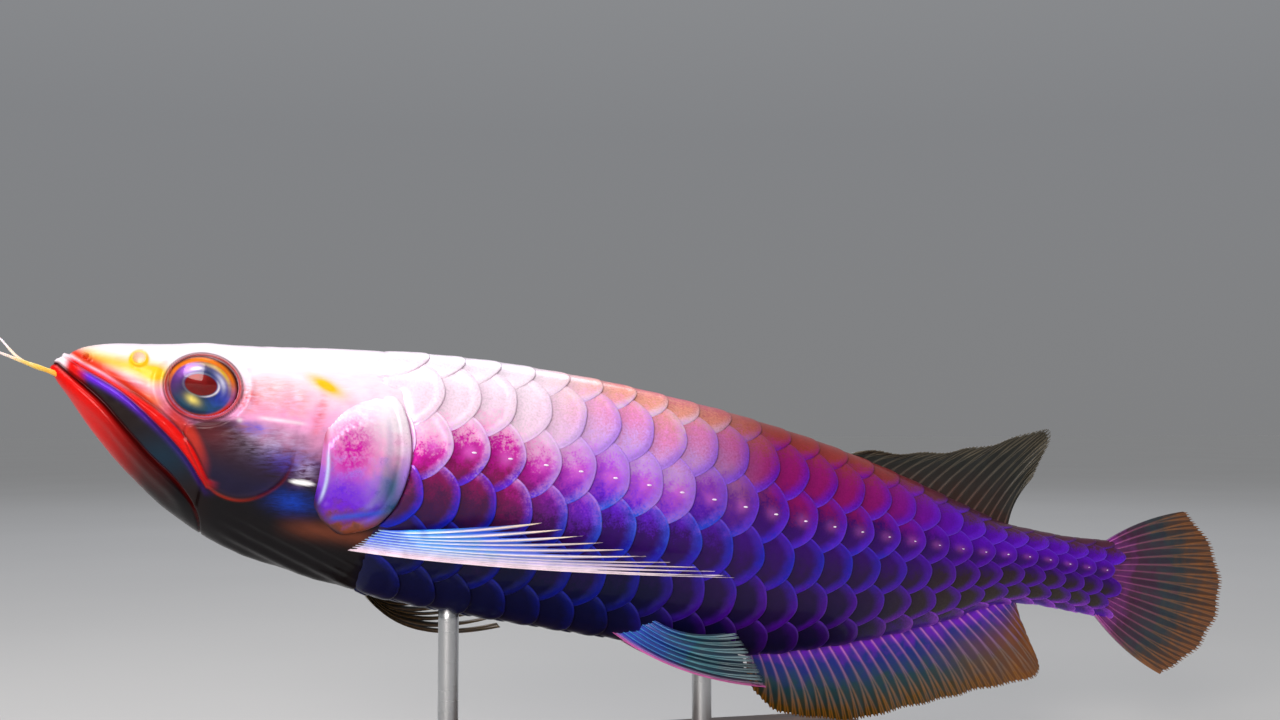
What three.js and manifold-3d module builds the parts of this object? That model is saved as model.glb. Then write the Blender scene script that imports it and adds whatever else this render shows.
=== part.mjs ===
// An asian arowana about 40 cm long, life size, swimming head-up with its tail curving to its
// right, held over a plain base by two short rods.
import * as THREE from "three";
import { mergeVertices } from "three/addons/utils/BufferGeometryUtils.js";
import Module from "manifold-3d";

const wasm = await Module();
wasm.setup();

// Sizes are in millimetres. A place on the fish is (s, l, z): s runs from the snout back along
// the spine, l out from the spine with the right flank positive, and z up from the spine.
const STANDARD_LENGTH = 345;
const GAP = 0.3;

// The pose: straight as far as the gills, then one even curve, and the whole fish head-up.
const BEND_START = 95;
const BEND_END = 400;
const BEND = THREE.MathUtils.degToRad(10);
const HEAD_UP = THREE.MathUtils.degToRad(11.5);
const HELD_AT = { s: 165, z: -10 };
const HELD_HEIGHT = 86;
const HELD_SIDE = -3;

// The body's outline, each row a place along the spine and the value there.
const BACK = profile([[0, 2], [6, 6.6], [14, 9.3], [24, 11.2], [38, 14], [55, 17.2], [75, 20.9],
  [97, 24.2], [125, 26.8], [155, 27.7], [185, 27], [214, 25], [240, 21.8], [265, 17.4],
  [285, 13.4], [303, 10.4], [320, 10.4], [345, 12.2]]);
const BELLY = profile([[0, -1.5], [6, -9], [14, -17], [24, -25.2], [38, -34.2], [55, -41],
  [75, -44.6], [97, -46.8], [125, -47.6], [155, -47.4], [185, -46.9], [214, -45.4],
  [240, -39.4], [265, -31.2], [285, -23.4], [303, -15.6], [320, -13.2], [345, -13.4]]);
const HALF_WIDTH = profile([[0, 2.2], [6, 6], [14, 9], [24, 11.4], [38, 13.6], [55, 15.4],
  [75, 17], [97, 18], [125, 18.6], [155, 18.6], [185, 17.9], [214, 16.2], [240, 13.6],
  [265, 10.6], [285, 8.2], [303, 6.4], [320, 5], [345, 2.8]]);
const WIDEST_SHARE = profile([[0, 0.45], [38, 0.43], [75, 0.42], [214, 0.41], [265, 0.43], [345, 0.5]]);
const ROOF_POWER = profile([[0, 2.3], [20, 2.8], [45, 3.1], [75, 2.9], [125, 2.5], [345, 2.3]]);
const KEEL_POWER = profile([[0, 2.1], [40, 1.9], [97, 1.75], [240, 1.8], [345, 2.1]]);
const SECTION_STEPS = 64;

// Where the body is parted, and how finely each length of it is drawn.
const HEAD_END = 88;
const FRONT_END = 190;
const REAR_END = 303;
const HEAD_RING = 40;
const HEAD_STEP = 2.6;

// The scales lie in rows from head to tail, half of them on each flank, and every second row is
// shifted by half a scale. The rear edge of each bows back by SCALE_BOW of a scale's length for
// each row's height squared, and stands SCALE_RISE over the scales behind it.
const SCALE_ROWS = 12;
const SCALE_COLUMNS = 28;
const SCALE_START = 78;
const SCALE_LENGTH = 10.4;
const SCALE_SHORTENING = 0.17;
const SCALE_SHORTENS_FROM = 15;
const SCALE_BOW = 1.5;
const SCALE_THIRD = 1 / 3;
const SCALE_RISE = 0.6;
const SCALE_SEAT = -0.2;
const SCALE_SLANT = 0.3;

// The mouth: the line where the lips meet, the joint behind it, and the blade above it.
const GAPE = [[-3, 2.2], [2.2, -0.7], [7.8, -3.6], [13.7, -7.1], [21.3, -13], [29, -18.9], [40, -26.8]];
const GAPE_LINE = profile(GAPE);
const JAW_REAR = [[45.5, -34], [49, -48]];
const GAPE_WIDTH = 0.5;
const BLADE_TOP = profile([[-3, 4], [5.7, 1], [18.1, -3.4], [29.8, -10.4], [39.1, -17.5], [46, -25]]);
const BLADE_END = 45;

// The eye: its middle, its three half sizes and how its face is turned forward and up.
const EYE = { s: 39.4, z: 2.1, out: 9.9, along: 9.4, deep: 4.6, high: 8.3 };
const EYE_FORWARD = THREE.MathUtils.degToRad(7.5);
const EYE_UP = THREE.MathUtils.degToRad(9);
const EYE_STEPS = 16;

const NOSTRILS = [{ s: 21.6, z: 6.3, radius: 1.4 }, { s: 8.5, z: 4.6, radius: 0.9 }];

// The bony plates under the eye and on the cheek, and the gill cover.
const CHEEK = [[36.1, -9.4], [42, -18.4], [47.3, -25], [55.7, -26.5], [62.5, -20.6], [65.7, -16.8],
  [66.2, -3.7], [49.7, -3.7]];
const BEHIND_EYE = [[50.5, 8], [64, 10], [66.5, -2.4], [50.4, -2.4]];
const GILL_OUTLINE = [[69.3, 4.8], [70.4, 11], [76, 14.6], [83.1, 13.4], [91.3, 9.8], [95.7, 3],
  [98.1, -4.3], [98.5, -12.1], [96.9, -20.4], [93, -26.4], [86, -30], [79, -32.6], [73, -33.6],
  [73.4, -27], [74.4, -17.3], [72.6, -5.2]];
const GILL_CENTRE = [84.5, -9.5];
const GILL_RINGS = [0.45, 0.82, 1];
const GILL_EDGE = 0.45;
const GILL_RISE = 1.1;
const GILL_STEPS = 32;

const BARBEL = { length: 19, root: 0.95, tip: 0.25, sides: 6, steps: 9 };

// The fins: half the thickness of the membrane at the root and at the edge, and how far a ray
// stands out of it on each face.
const MEMBRANE_ROOT = 0.55;
const MEMBRANE_EDGE = 0.26;
const RAY_ROOT = 0.5;
const RAY_EDGE = 0.2;
const ROOT_SUNK = 3;
// The near pectoral fin is swept back along the flank and the far one is held out and down: the
// tips of its rays, from the long first ray to the last, as s, distance out and z.
const PECTORAL = {
  left: { bow: [-2, 3, -1.5], tips: [[194, 30, -22], [186, 29, -21], [171, 27.5, -21], [158, 26, -19.5],
    [146, 25, -18], [134, 24, -16.5]] },
  right: { bow: [-8, 0, -12], tips: [[150, 62, -56], [144, 56, -52], [136, 49, -48], [128, 42, -45],
    [120, 36, -42], [112, 30, -39]] },
};
const TAIL = { half: 11.6, reach: 55, height: 34.5, spread: 1 };

const BASE = { length: 190, width: 100, height: 12, corner: 22, bevel: 1.6 };
const ROD = { radius: 3, foot: 7.5, footHeight: 2.2, flare: 5 };
const RODS = { stand_rod_front: 120, stand_rod_rear: 200 };

const SKIN = { color: 0xc98fb6, roughness: 0.35, metalness: 0.25 };
const LOOKS = {
  head: { color: 0xe3a9b4, roughness: 0.32, metalness: 0.15 },
  jaw: { color: 0xb5203a, roughness: 0.35, metalness: 0 },
  plate: { color: 0xe9b9cf, roughness: 0.28, metalness: 0.3 },
  fin: { color: 0x6f8fc4, roughness: 0.4, metalness: 0 },
  darkFin: { color: 0x6b5a4a, roughness: 0.4, metalness: 0 },
  eye: { color: 0xd8842c, roughness: 0.1, metalness: 0.1 },
  barbel: { color: 0xd8cfc8, roughness: 0.4, metalness: 0 },
  rod: { color: 0xb8bcc0, roughness: 0.3, metalness: 1 },
  base: { color: 0x5a3b28, roughness: 0.5, metalness: 0 },
};

// A smooth line through the points that never overshoots them.
function profile(points) {
  const last = points.length - 1;
  const step = points.slice(1).map((p, i) => p[0] - points[i][0]);
  const rise = step.map((h, i) => (points[i + 1][1] - points[i][1]) / h);
  const slope = points.map((p, i) => {
    if (i === 0) return rise[0];
    if (i === last) return rise[last - 1];
    if (rise[i - 1] * rise[i] <= 0) return 0;
    const before = 2 * step[i] + step[i - 1];
    const after = step[i] + 2 * step[i - 1];
    return (before + after) / (before / rise[i - 1] + after / rise[i]);
  });
  return (x) => {
    const at = THREE.MathUtils.clamp(x, points[0][0], points[last][0]);
    let i = 0;
    while (i < last - 1 && at > points[i + 1][0]) i += 1;
    const t = (at - points[i][0]) / step[i];
    const u = 1 - t;
    return points[i][1] * (1 + 2 * t) * u * u + step[i] * slope[i] * t * u * u
      + points[i + 1][1] * t * t * (3 - 2 * t) - step[i] * slope[i + 1] * t * t * u;
  };
}

function bump(distance, width) {
  return Math.exp(-((distance / width) ** 2));
}

// How far a point lies inside a closed outline, negative outside it.
function inside(outline, s, z) {
  let nearest = Infinity;
  let crossings = 0;
  outline.forEach(([s0, z0], i) => {
    const [s1, z1] = outline[(i + 1) % outline.length];
    const along = ((s - s0) * (s1 - s0) + (z - z0) * (z1 - z0)) / ((s1 - s0) ** 2 + (z1 - z0) ** 2);
    const t = THREE.MathUtils.clamp(along, 0, 1);
    nearest = Math.min(nearest, Math.hypot(s - s0 - t * (s1 - s0), z - z0 - t * (z1 - z0)));
    if (z0 > z !== z1 > z && s < s0 + ((z - z0) / (z1 - z0)) * (s1 - s0)) crossings += 1;
  });
  return crossings % 2 ? nearest : -nearest;
}

// From the straight fish to the posed one.
const posed = new THREE.Matrix4()
  .makeTranslation(0, HELD_SIDE, HELD_HEIGHT)
  .multiply(new THREE.Matrix4().makeRotationY(HEAD_UP))
  .multiply(new THREE.Matrix4().makeTranslation(-HELD_AT.s, 0, -HELD_AT.z));

function place({ x: s, y: l, z }) {
  const turn = (Math.max(s - BEND_START, 0) * BEND) / (BEND_END - BEND_START);
  const radius = (BEND_END - BEND_START) / BEND;
  const x = turn > 0 ? BEND_START + Math.sin(turn) * radius : s;
  const y = turn > 0 ? (1 - Math.cos(turn)) * radius : 0;
  return new THREE.Vector3(x - Math.sin(turn) * l, y + Math.cos(turn) * l, z).applyMatrix4(posed);
}

// The right half of the section at s, from the back down to the belly, with the length of skin
// passed by each point.
const sections = new Map();
function sectionAt(s) {
  const key = s.toFixed(3);
  if (sections.has(key)) return sections.get(key);
  const back = BACK(s);
  const belly = BELLY(s);
  const widest = back - WIDEST_SHARE(s) * (back - belly);
  const points = [];
  let passed = 0;
  for (let i = 0; i <= SECTION_STEPS; i += 1) {
    const angle = Math.PI * (0.5 - i / SECTION_STEPS);
    const power = 2 / (angle > 0 ? ROOF_POWER(s) : KEEL_POWER(s));
    const height = angle > 0 ? back - widest : widest - belly;
    const l = HALF_WIDTH(s) * Math.max(Math.cos(angle), 0) ** power;
    const z = widest + Math.sign(angle) * height * Math.abs(Math.sin(angle)) ** power;
    if (i > 0) passed += Math.hypot(l - points[i - 1].l, z - points[i - 1].z);
    points.push({ l, z, passed });
  }
  const section = { points, girth: passed };
  sections.set(key, section);
  return section;
}

// The bare skin at s. The share goes round from the back, down the left flank to the belly at
// 0.5 and up the right flank to 1.
function bareSkin(s, share) {
  const turn = share - Math.floor(share);
  const side = turn < 0.5 ? -1 : 1;
  const { points, girth } = sectionAt(s);
  const passed = 2 * Math.min(turn, 1 - turn) * girth;
  let i = 1;
  while (i < SECTION_STEPS && points[i].passed < passed) i += 1;
  const t = (passed - points[i - 1].passed) / (points[i].passed - points[i - 1].passed);
  const l = points[i - 1].l + t * (points[i].l - points[i - 1].l);
  const z = points[i - 1].z + t * (points[i].z - points[i - 1].z);
  return new THREE.Vector3(s, side * l, z);
}

function skinNormal(s, share) {
  const [ds, dshare] = [0.4, 0.004];
  const along = bareSkin(s + ds, share).sub(bareSkin(Math.max(s - ds, 0), share));
  const round = bareSkin(s, share + dshare).sub(bareSkin(s, share - dshare));
  return round.cross(along).normalize();
}

function shareAtHeight(s, z, side) {
  const { points, girth } = sectionAt(s);
  let i = 1;
  while (i < SECTION_STEPS && points[i].z > z) i += 1;
  const t = (points[i - 1].z - z) / (points[i - 1].z - points[i].z);
  const passed = points[i - 1].passed + t * (points[i].passed - points[i - 1].passed);
  return side < 0 ? passed / girth / 2 : 1 - passed / girth / 2;
}

// What stands out of the bare skin on the head: lips, blade, eye rim, brow and bony plates.
function headRelief(s, z) {
  const smooth = THREE.MathUtils.smoothstep;
  const above = (z - GAPE_LINE(s)) * 0.8;
  const front = 1 - smooth(s, 34, 42);
  let rise = 0.7 * front * bump(above - 0.9, 1);
  rise += 1.1 * front * bump(above + 1.9, 1.6);
  const blade = Math.min(above, (BLADE_TOP(s) - z) * 0.8, BLADE_END - s);
  rise += 0.9 * smooth(blade, 0, 1.4);
  const ring = Math.hypot((s - EYE.s) / EYE.along, (z - EYE.z) / EYE.high);
  rise += 0.8 * bump(ring - 1.1, 0.13);
  rise -= 0.5 * bump(ring - 1.42, 0.16);
  rise += 0.8 * smooth(inside(CHEEK, s, z), -0.3, 1.4);
  rise += 0.7 * smooth(inside(BEHIND_EYE, s, z), -0.3, 1.4);
  rise += 0.5 * bump(z - 13.6 - 0.08 * (s - 39), 1.3) * bump(s - 39, 14);
  rise += 0.6 * bump(Math.hypot(s - 43, z + 26), 3);
  return rise * (1 - smooth(s, 64.5, 67));
}

function skin(s, share, lift = 0) {
  const bare = bareSkin(s, share);
  return bare.addScaledVector(skinNormal(s, share), lift + headRelief(s, bare.z));
}

// A closed surface as a solid, turned right side out.
function solid(vertices, triangles) {
  let volume = 0;
  const cross = new THREE.Vector3();
  triangles.forEach(([a, b, c]) => {
    volume += cross.crossVectors(vertices[b], vertices[c]).dot(vertices[a]);
  });
  const faces = volume > 0 ? triangles : triangles.map(([a, b, c]) => [a, c, b]);
  return new wasm.Manifold(new wasm.Mesh({
    numProp: 3,
    vertProperties: new Float32Array(vertices.flatMap((v) => [v.x, v.y, v.z])),
    triVerts: new Uint32Array(faces.flat()),
  }));
}

function solidOf(geometry, move = (v) => v) {
  geometry.deleteAttribute("normal");
  geometry.deleteAttribute("uv");
  const merged = mergeVertices(geometry, 1e-4);
  const at = merged.getAttribute("position");
  const vertices = [];
  for (let i = 0; i < at.count; i += 1) {
    vertices.push(move(new THREE.Vector3().fromBufferAttribute(at, i)));
  }
  const index = Array.from(merged.index.array);
  const triangles = [];
  for (let i = 0; i < index.length; i += 3) {
    const [a, b, c] = index.slice(i, i + 3);
    if (a !== b && b !== c && c !== a) triangles.push([a, b, c]);
  }
  return solid(vertices, triangles);
}

// The largest closed body of a solid, so that a cut leaves no scrap.
function largest(whole) {
  return whole.decompose().sort((a, b) => b.volume() - a.volume())[0];
}

function meshOf(name, whole, look) {
  const { vertProperties, triVerts, numProp } = whole.getMesh();
  const geometry = new THREE.BufferGeometry();
  const positions = new Float32Array((vertProperties.length / numProp) * 3);
  for (let i = 0; i < positions.length / 3; i += 1) {
    positions.set(vertProperties.subarray(i * numProp, i * numProp + 3), i * 3);
  }
  geometry.setAttribute("position", new THREE.BufferAttribute(positions, 3));
  geometry.setIndex(new THREE.BufferAttribute(new Uint32Array(triVerts), 1));
  geometry.computeVertexNormals();
  const mesh = new THREE.Mesh(geometry, new THREE.MeshStandardMaterial(look));
  mesh.name = name;
  return mesh;
}

// Rings of points joined into one closed solid, with a fan over each end.
function joinRings(rings) {
  const count = rings[0].length;
  const vertices = rings.flat();
  const triangles = [];
  for (let r = 0; r + 1 < rings.length; r += 1) {
    for (let k = 0; k < count; k += 1) {
      const a = r * count + k;
      const b = r * count + ((k + 1) % count);
      triangles.push([a, b, b + count], [a, b + count, a + count]);
    }
  }
  [rings[0], rings[rings.length - 1]].forEach((ring, end) => {
    const middle = ring.reduce((sum, v) => sum.add(v), new THREE.Vector3()).divideScalar(count);
    const first = end * (rings.length - 1) * count;
    vertices.push(middle);
    for (let k = 0; k < count; k += 1) {
      const next = first + ((k + 1) % count);
      triangles.push(end ? [first + k, next, vertices.length - 1] : [next, first + k, vertices.length - 1]);
    }
  });
  return solid(vertices, triangles);
}

function length(from, to, step, count, lift = 0) {
  const steps = Math.ceil((to - from) / step);
  const rings = [];
  for (let i = 0; i <= steps; i += 1) {
    const s = from + ((to - from) * i) / steps;
    const reach = new THREE.Vector3(lift * ((i === steps) - (i === 0)), 0, 0);
    const ring = [];
    for (let k = 0; k < count; k += 1) ring.push(place(skin(s, k / count, lift).add(reach)));
    rings.push(ring);
  }
  return joinRings(rings);
}

// The eyeball, or with more lift the socket that it sits in.
function eyeball(side, lift) {
  const turned = new THREE.Matrix4().makeRotationX(-EYE_UP)
    .premultiply(new THREE.Matrix4().makeRotationZ(EYE_FORWARD));
  return solidOf(new THREE.SphereGeometry(1, EYE_STEPS, EYE_STEPS * 0.6), (v) => {
    v.set(v.x * (EYE.along + lift), v.y * (EYE.deep + lift), v.z * (EYE.high + lift));
    v.applyMatrix4(turned);
    return place(new THREE.Vector3(EYE.s + v.x, side * (EYE.out + v.y), EYE.z + v.z));
  });
}

// A nostril's raised rim, and the pit inside it.
function nostril({ s, z, radius }, side, pit) {
  const share = shareAtHeight(s, z, side);
  const middle = skin(s, share);
  const up = new THREE.Quaternion().setFromUnitVectors(new THREE.Vector3(0, 0, 1), skinNormal(s, share));
  const form = pit ? new THREE.SphereGeometry(radius * 0.7, 6, 4)
    : new THREE.TorusGeometry(radius, radius * 0.42, 5, 8);
  return solidOf(form, (v) => place(v.applyQuaternion(up).add(middle)));
}

// The slit of the mouth, which runs back along the lips and down behind the lower jaw.
function mouthSlit() {
  const line = GAPE.concat(JAW_REAR).map(([s, z]) => new THREE.Vector2(s, z));
  const edge = (offset) => line.map((p, i) => {
    const along = line[Math.min(i + 1, line.length - 1)].clone().sub(line[Math.max(i - 1, 0)]);
    return p.clone().add(new THREE.Vector2(-along.y, along.x).normalize().multiplyScalar(offset));
  });
  const outline = edge(GAPE_WIDTH / 2).concat(edge(-GAPE_WIDTH / 2).reverse());
  const form = new THREE.ExtrudeGeometry(new THREE.Shape(outline), { depth: 60, bevelEnabled: false });
  return solidOf(form, (v) => place(new THREE.Vector3(v.x, v.z - 30, v.y)));
}

const headLength = (lift) => length(0, HEAD_END - GAP / 2, HEAD_STEP, HEAD_RING, lift);

// The place along the spine of a count of scales from the first.
function columnPlace(column) {
  const late = Math.max(column - SCALE_SHORTENS_FROM, 0);
  return SCALE_START + SCALE_LENGTH * column - (SCALE_SHORTENING / 2) * late ** 2;
}

// The share of the way round at a count of rows from the back. Towards the tail the rows beside
// the fins narrow first.
function rowShare(row, s) {
  const turned = row > SCALE_ROWS / 2;
  const even = (turned ? SCALE_ROWS - row : row) / (SCALE_ROWS / 2);
  const late = 0.55 * THREE.MathUtils.smoothstep(s, 240, 320);
  const half = (1 - late) * even + late * even * even * (3 - 2 * even);
  return turned ? 1 - half / 2 : half / 2;
}

// How far the scales stand out: hardly at all under the gill cover, and fully just behind it.
function scaleStrength(s, z) {
  const behind = -inside(GILL_OUTLINE, s, z);
  const onTop = THREE.MathUtils.smoothstep(z, 10, 16);
  const fromGill = THREE.MathUtils.smoothstep(behind, -1, 3.5) * THREE.MathUtils.smoothstep(s, 90, 96);
  return Math.max(fromGill, onTop, 0.05);
}

// The scaled skin as one closed solid. At each place where three scales meet there are three
// vertices, one on each of them, and a step between scales wherever one lies over another.
function scaledSkin(lift = 0) {
  const vertices = [];
  const numbers = new Map();
  const vertex = (column, row, turn, level) => {
    const first = column < 0;
    const key = [column, (row + SCALE_ROWS) % SCALE_ROWS, turn, first ? 0 : level].join();
    if (!numbers.has(key)) {
      const tip = column + (((row + SCALE_ROWS) % 2) ? 0.5 : 0);
      const s = columnPlace(tip - SCALE_BOW * (turn * SCALE_THIRD) ** 2) + SCALE_SLANT * (1 - level);
      const around = (row + 0.5 + turn * SCALE_THIRD + SCALE_ROWS) % SCALE_ROWS;
      const share = rowShare(around, s);
      const bare = bareSkin(s, share);
      const rise = scaleStrength(s, bare.z) * (SCALE_SEAT + SCALE_RISE * (first ? 0 : level));
      numbers.set(key, vertices.length);
      vertices.push(place(bare.addScaledVector(skinNormal(s, share), lift + rise)));
    }
    return numbers.get(key);
  };
  const triangles = [];
  const polygon = (corners) => {
    for (let i = 1; i + 1 < corners.length; i += 1) {
      const made = [corners[0], corners[i], corners[i + 1]];
      if (new Set(made).size === 3) triangles.push(made);
    }
  };
  for (let column = 0; column < SCALE_COLUMNS; column += 1) {
    for (let row = 0; row < SCALE_ROWS; row += 1) {
      const beside = row % 2 ? column : column - 1;
      const [upper, middle, lower] = [1, 0.5, 0].map((level) => (turn) => vertex(column, row, turn, level));
      const corner = (turn, level) => vertex(beside, row + turn, -turn, level);
      const front = (turn) => vertex(column - 1, row, turn, 0);
      polygon([upper(0), upper(-1), corner(-1, 0.5), front(-1), front(0), front(1), corner(1, 0.5),
        upper(1)]);
      polygon([lower(0), upper(0), upper(1), middle(1), lower(1)]);
      polygon([lower(0), lower(-1), middle(-1), upper(-1), upper(0)]);
      polygon([middle(1), upper(1), corner(1, 0.5), corner(1, 0)]);
      polygon([middle(-1), corner(-1, 0), corner(-1, 0.5), upper(-1)]);
    }
  }
  closeEnds(vertices, triangles);
  return solid(vertices, triangles);
}

// Fans over the open front and rear of a tube of triangles.
function closeEnds(vertices, triangles) {
  const edges = new Set(triangles.flatMap(([a, b, c]) => [`${a},${b}`, `${b},${c}`, `${c},${a}`]));
  const open = [...edges].map((edge) => edge.split(",").map(Number))
    .filter(([a, b]) => !edges.has(`${b},${a}`));
  const isFront = ([a]) => vertices[a].x < 0;
  [open.filter(isFront), open.filter((edge) => !isFront(edge))].forEach((ring) => {
    const middle = new THREE.Vector3();
    ring.forEach(([a]) => middle.addScaledVector(vertices[a], 1 / ring.length));
    vertices.push(middle);
    ring.forEach(([a, b]) => triangles.push([b, a, vertices.length - 1]));
  });
}

// A thick slice of space between two places along the spine.
function slice(from, to) {
  const reach = 70;
  return joinRings([from, to].map((s) => [[-1, -1], [1, -1], [1, 1], [-1, 1]].map(
    ([l, z]) => place(new THREE.Vector3(s, l * reach, z * reach)))));
}

const TRUNK = { trunk_front: [HEAD_END + GAP / 2, FRONT_END - GAP / 2],
  trunk_rear: [FRONT_END + GAP / 2, REAR_END - GAP / 2], tail_stalk: [REAR_END + GAP / 2, STANDARD_LENGTH] };

function makeHead() {
  let head = headLength(0);
  [-1, 1].forEach((side) => {
    head = head.subtract(eyeball(side, GAP));
    NOSTRILS.forEach((one) => {
      head = head.add(nostril(one, side, false)).subtract(nostril(one, side, true));
    });
  });
  const pieces = head.subtract(mouthSlit()).decompose().sort((a, b) => b.volume() - a.volume());
  return { head: pieces[0], jaw: pieces[1] };
}

// The gill cover, a bony plate that lies just over the skin and thins to its edge.
function gillCover(side, lift = 0) {
  const outline = new THREE.CatmullRomCurve3(
    GILL_OUTLINE.map(([s, z]) => new THREE.Vector3(s, 0, z)), true);
  const edge = outline.getPoints(GILL_STEPS).slice(0, GILL_STEPS);
  const [s0, z0] = GILL_CENTRE;
  const at = (s, z, rise) => place(skin(s, shareAtHeight(s, z, side), rise));
  const vertices = [];
  const triangles = [];
  [-1, 1].forEach((face) => {
    const start = vertices.length;
    const rise = (ring) => (face < 0 ? GAP - lift
      : GAP + lift + GILL_EDGE + GILL_RISE * Math.sqrt(1 - ring ** 6));
    vertices.push(at(s0, z0, rise(0)));
    GILL_RINGS.forEach((ring, r) => {
      edge.forEach((p, k) => {
        vertices.push(at(s0 + (p.x - s0) * ring, z0 + (p.z - z0) * ring, rise(ring)));
        const next = (k + 1) % GILL_STEPS;
        const inner = start + 1 + (r - 1) * GILL_STEPS;
        const outer = start + 1 + r * GILL_STEPS;
        const made = r === 0 ? [[start, outer + k, outer + next]]
          : [[inner + k, outer + k, outer + next], [inner + k, outer + next, inner + next]];
        triangles.push(...made.map(([a, b, c]) => (face > 0 ? [a, b, c] : [a, c, b])));
      });
    });
  });
  const low = 1 + (GILL_RINGS.length - 1) * GILL_STEPS;
  const high = low + vertices.length / 2;
  for (let k = 0; k < GILL_STEPS; k += 1) {
    const next = (k + 1) % GILL_STEPS;
    triangles.push([high + k, low + k, low + next], [high + k, low + next, high + next]);
  }
  return solid(vertices, triangles);
}

// A fin as one thin sheet from its root line to its edge, with a face on each side of it. Every
// second column of points is a ray, raised on both faces and reaching past the membrane. The bow
// is how far its middle is moved, at a place from -1 to 1 across the rays.
function fin({ root, edge, rays, rows, bow, thin = 1, notch = 0.03 }) {
  const columns = 2 * rays;
  const roots = new THREE.CatmullRomCurve3(root);
  const edges = new THREE.CatmullRomCurve3(edge);
  const middle = (a, b) => roots.getPoint(a).lerp(edges.getPoint(a), b)
    .addScaledVector(bow(2 * a - 1), 4 * b * (1 - b));
  const across = (a, b) => {
    const d = 0.01;
    const [a0, a1] = [Math.max(a - d, 0), Math.min(a + d, 1)];
    const [b0, b1] = [Math.max(b - d, 0), Math.min(b + d, 1)];
    return middle(a1, b).sub(middle(a0, b)).cross(middle(a, b1).sub(middle(a, b0))).normalize();
  };
  const width = columns + 1;
  const face = width * (rows + 1);
  const vertices = [];
  const triangles = [];
  [-1, 1].forEach((side) => {
    for (let r = 0; r <= rows; r += 1) {
      for (let c = 0; c <= columns; c += 1) {
        const isRay = c % 2 === 1;
        const [a, b] = [c / columns, (r / rows) * (isRay || c === 0 ? 1 : 1 - notch)];
        const half = THREE.MathUtils.lerp(MEMBRANE_ROOT, MEMBRANE_EDGE, b ** 0.6)
          + (isRay ? THREE.MathUtils.lerp(RAY_ROOT, RAY_EDGE, b) : 0);
        vertices.push(place(middle(a, b).addScaledVector(across(a, b), side * half * thin)));
      }
    }
  });
  for (let r = 0; r < rows; r += 1) {
    for (let c = 0; c < columns; c += 1) {
      const i = r * width + c;
      const j = i + width;
      [[i, i + 1, j + 1], [i, j + 1, j]].forEach(([p, q, t]) => {
        triangles.push([p, q, t], [p + face, t + face, q + face]);
      });
    }
  }
  const border = [];
  for (let c = 0; c < columns; c += 1) border.push(c);
  for (let r = 0; r < rows; r += 1) border.push(r * width + columns);
  for (let c = columns; c > 0; c -= 1) border.push(rows * width + c);
  for (let r = rows; r > 0; r -= 1) border.push(r * width);
  border.forEach((p, k) => {
    const q = border[(k + 1) % border.length];
    triangles.push([q, p, p + face], [q, p + face, q + face]);
  });
  return solid(vertices, triangles);
}

const at = (s, l, z) => new THREE.Vector3(s, l, z);

function dorsalFin() {
  return fin({
    root: [236, 252, 269, 286, 302].map((s) => at(s, 0, BACK(s) - ROOT_SUNK)),
    edge: [at(243, 0, 24), at(268, 0, 28.4), at(291, 0, 36), at(313, 0, 45), at(309, 0, 28)],
    rays: 14, rows: 3, bow: () => at(-1, 1.5, 0.5),
  });
}

function analFin() {
  const bases = [213, 223, 240, 262, 285, 307];
  const rays = [{ turn: 70, out: 8 }, { turn: 67, out: 20 }, { turn: 64, out: 25 }, { turn: 60, out: 26 },
    { turn: 56, out: 27 }, { turn: 48, out: 27 }];
  return fin({
    root: bases.map((s) => at(s, 0, BELLY(s) + ROOT_SUNK)),
    edge: bases.map((s, i) => {
      const turn = THREE.MathUtils.degToRad(rays[i].turn);
      return at(s + rays[i].out * Math.cos(turn), 0, BELLY(s) - rays[i].out * Math.sin(turn));
    }),
    rays: 20, rows: 3, bow: () => at(1.2, -1.5, 0),
  });
}

function caudalFin() {
  const { half, reach, height, spread } = TAIL;
  const turns = [-1, -0.75, -0.5, -0.25, 0, 0.25, 0.5, 0.75, 1];
  const middle = (BACK(STANDARD_LENGTH) + BELLY(STANDARD_LENGTH)) / 2;
  return fin({
    root: turns.map((turn) => at(STANDARD_LENGTH + GAP, 0, middle + half * turn)),
    edge: turns.map((turn) => at(STANDARD_LENGTH + reach * Math.cos(spread * turn) ** 0.9, 0,
      middle + height * Math.sin(spread * turn))),
    rays: 14, rows: 4, bow: (turn) => at(-1.5 * Math.abs(turn), -1, 1.8 * turn), thin: 1.3,
  });
}

// A pectoral fin: its root line, the tips of its rays from the long first ray to the short last
// one, and which way the sheet bows.
function pectoralFin(side, tips, bow) {
  return fin({
    root: [at(84, side * 8, -35), at(88, side * 9.5, -31.5), at(91.5, side * 10.5, -27.5)],
    edge: tips.map(([s, l, z]) => at(s, side * l, z)),
    rays: 7, rows: 7, bow: () => bow, notch: 0.1, thin: 0.9,
  });
}

function pelvicFin(side) {
  return fin({
    root: [at(166, side * 3, -43), at(171, side * 4.5, -39.5), at(176, side * 6, -36)],
    edge: [at(217, side * 15, -53), at(211, side * 17, -46), at(203, side * 17, -38)],
    rays: 6, rows: 5, bow: () => at(-2, side * 1.5, -4), notch: 0.06, thin: 0.9,
  });
}

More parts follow.
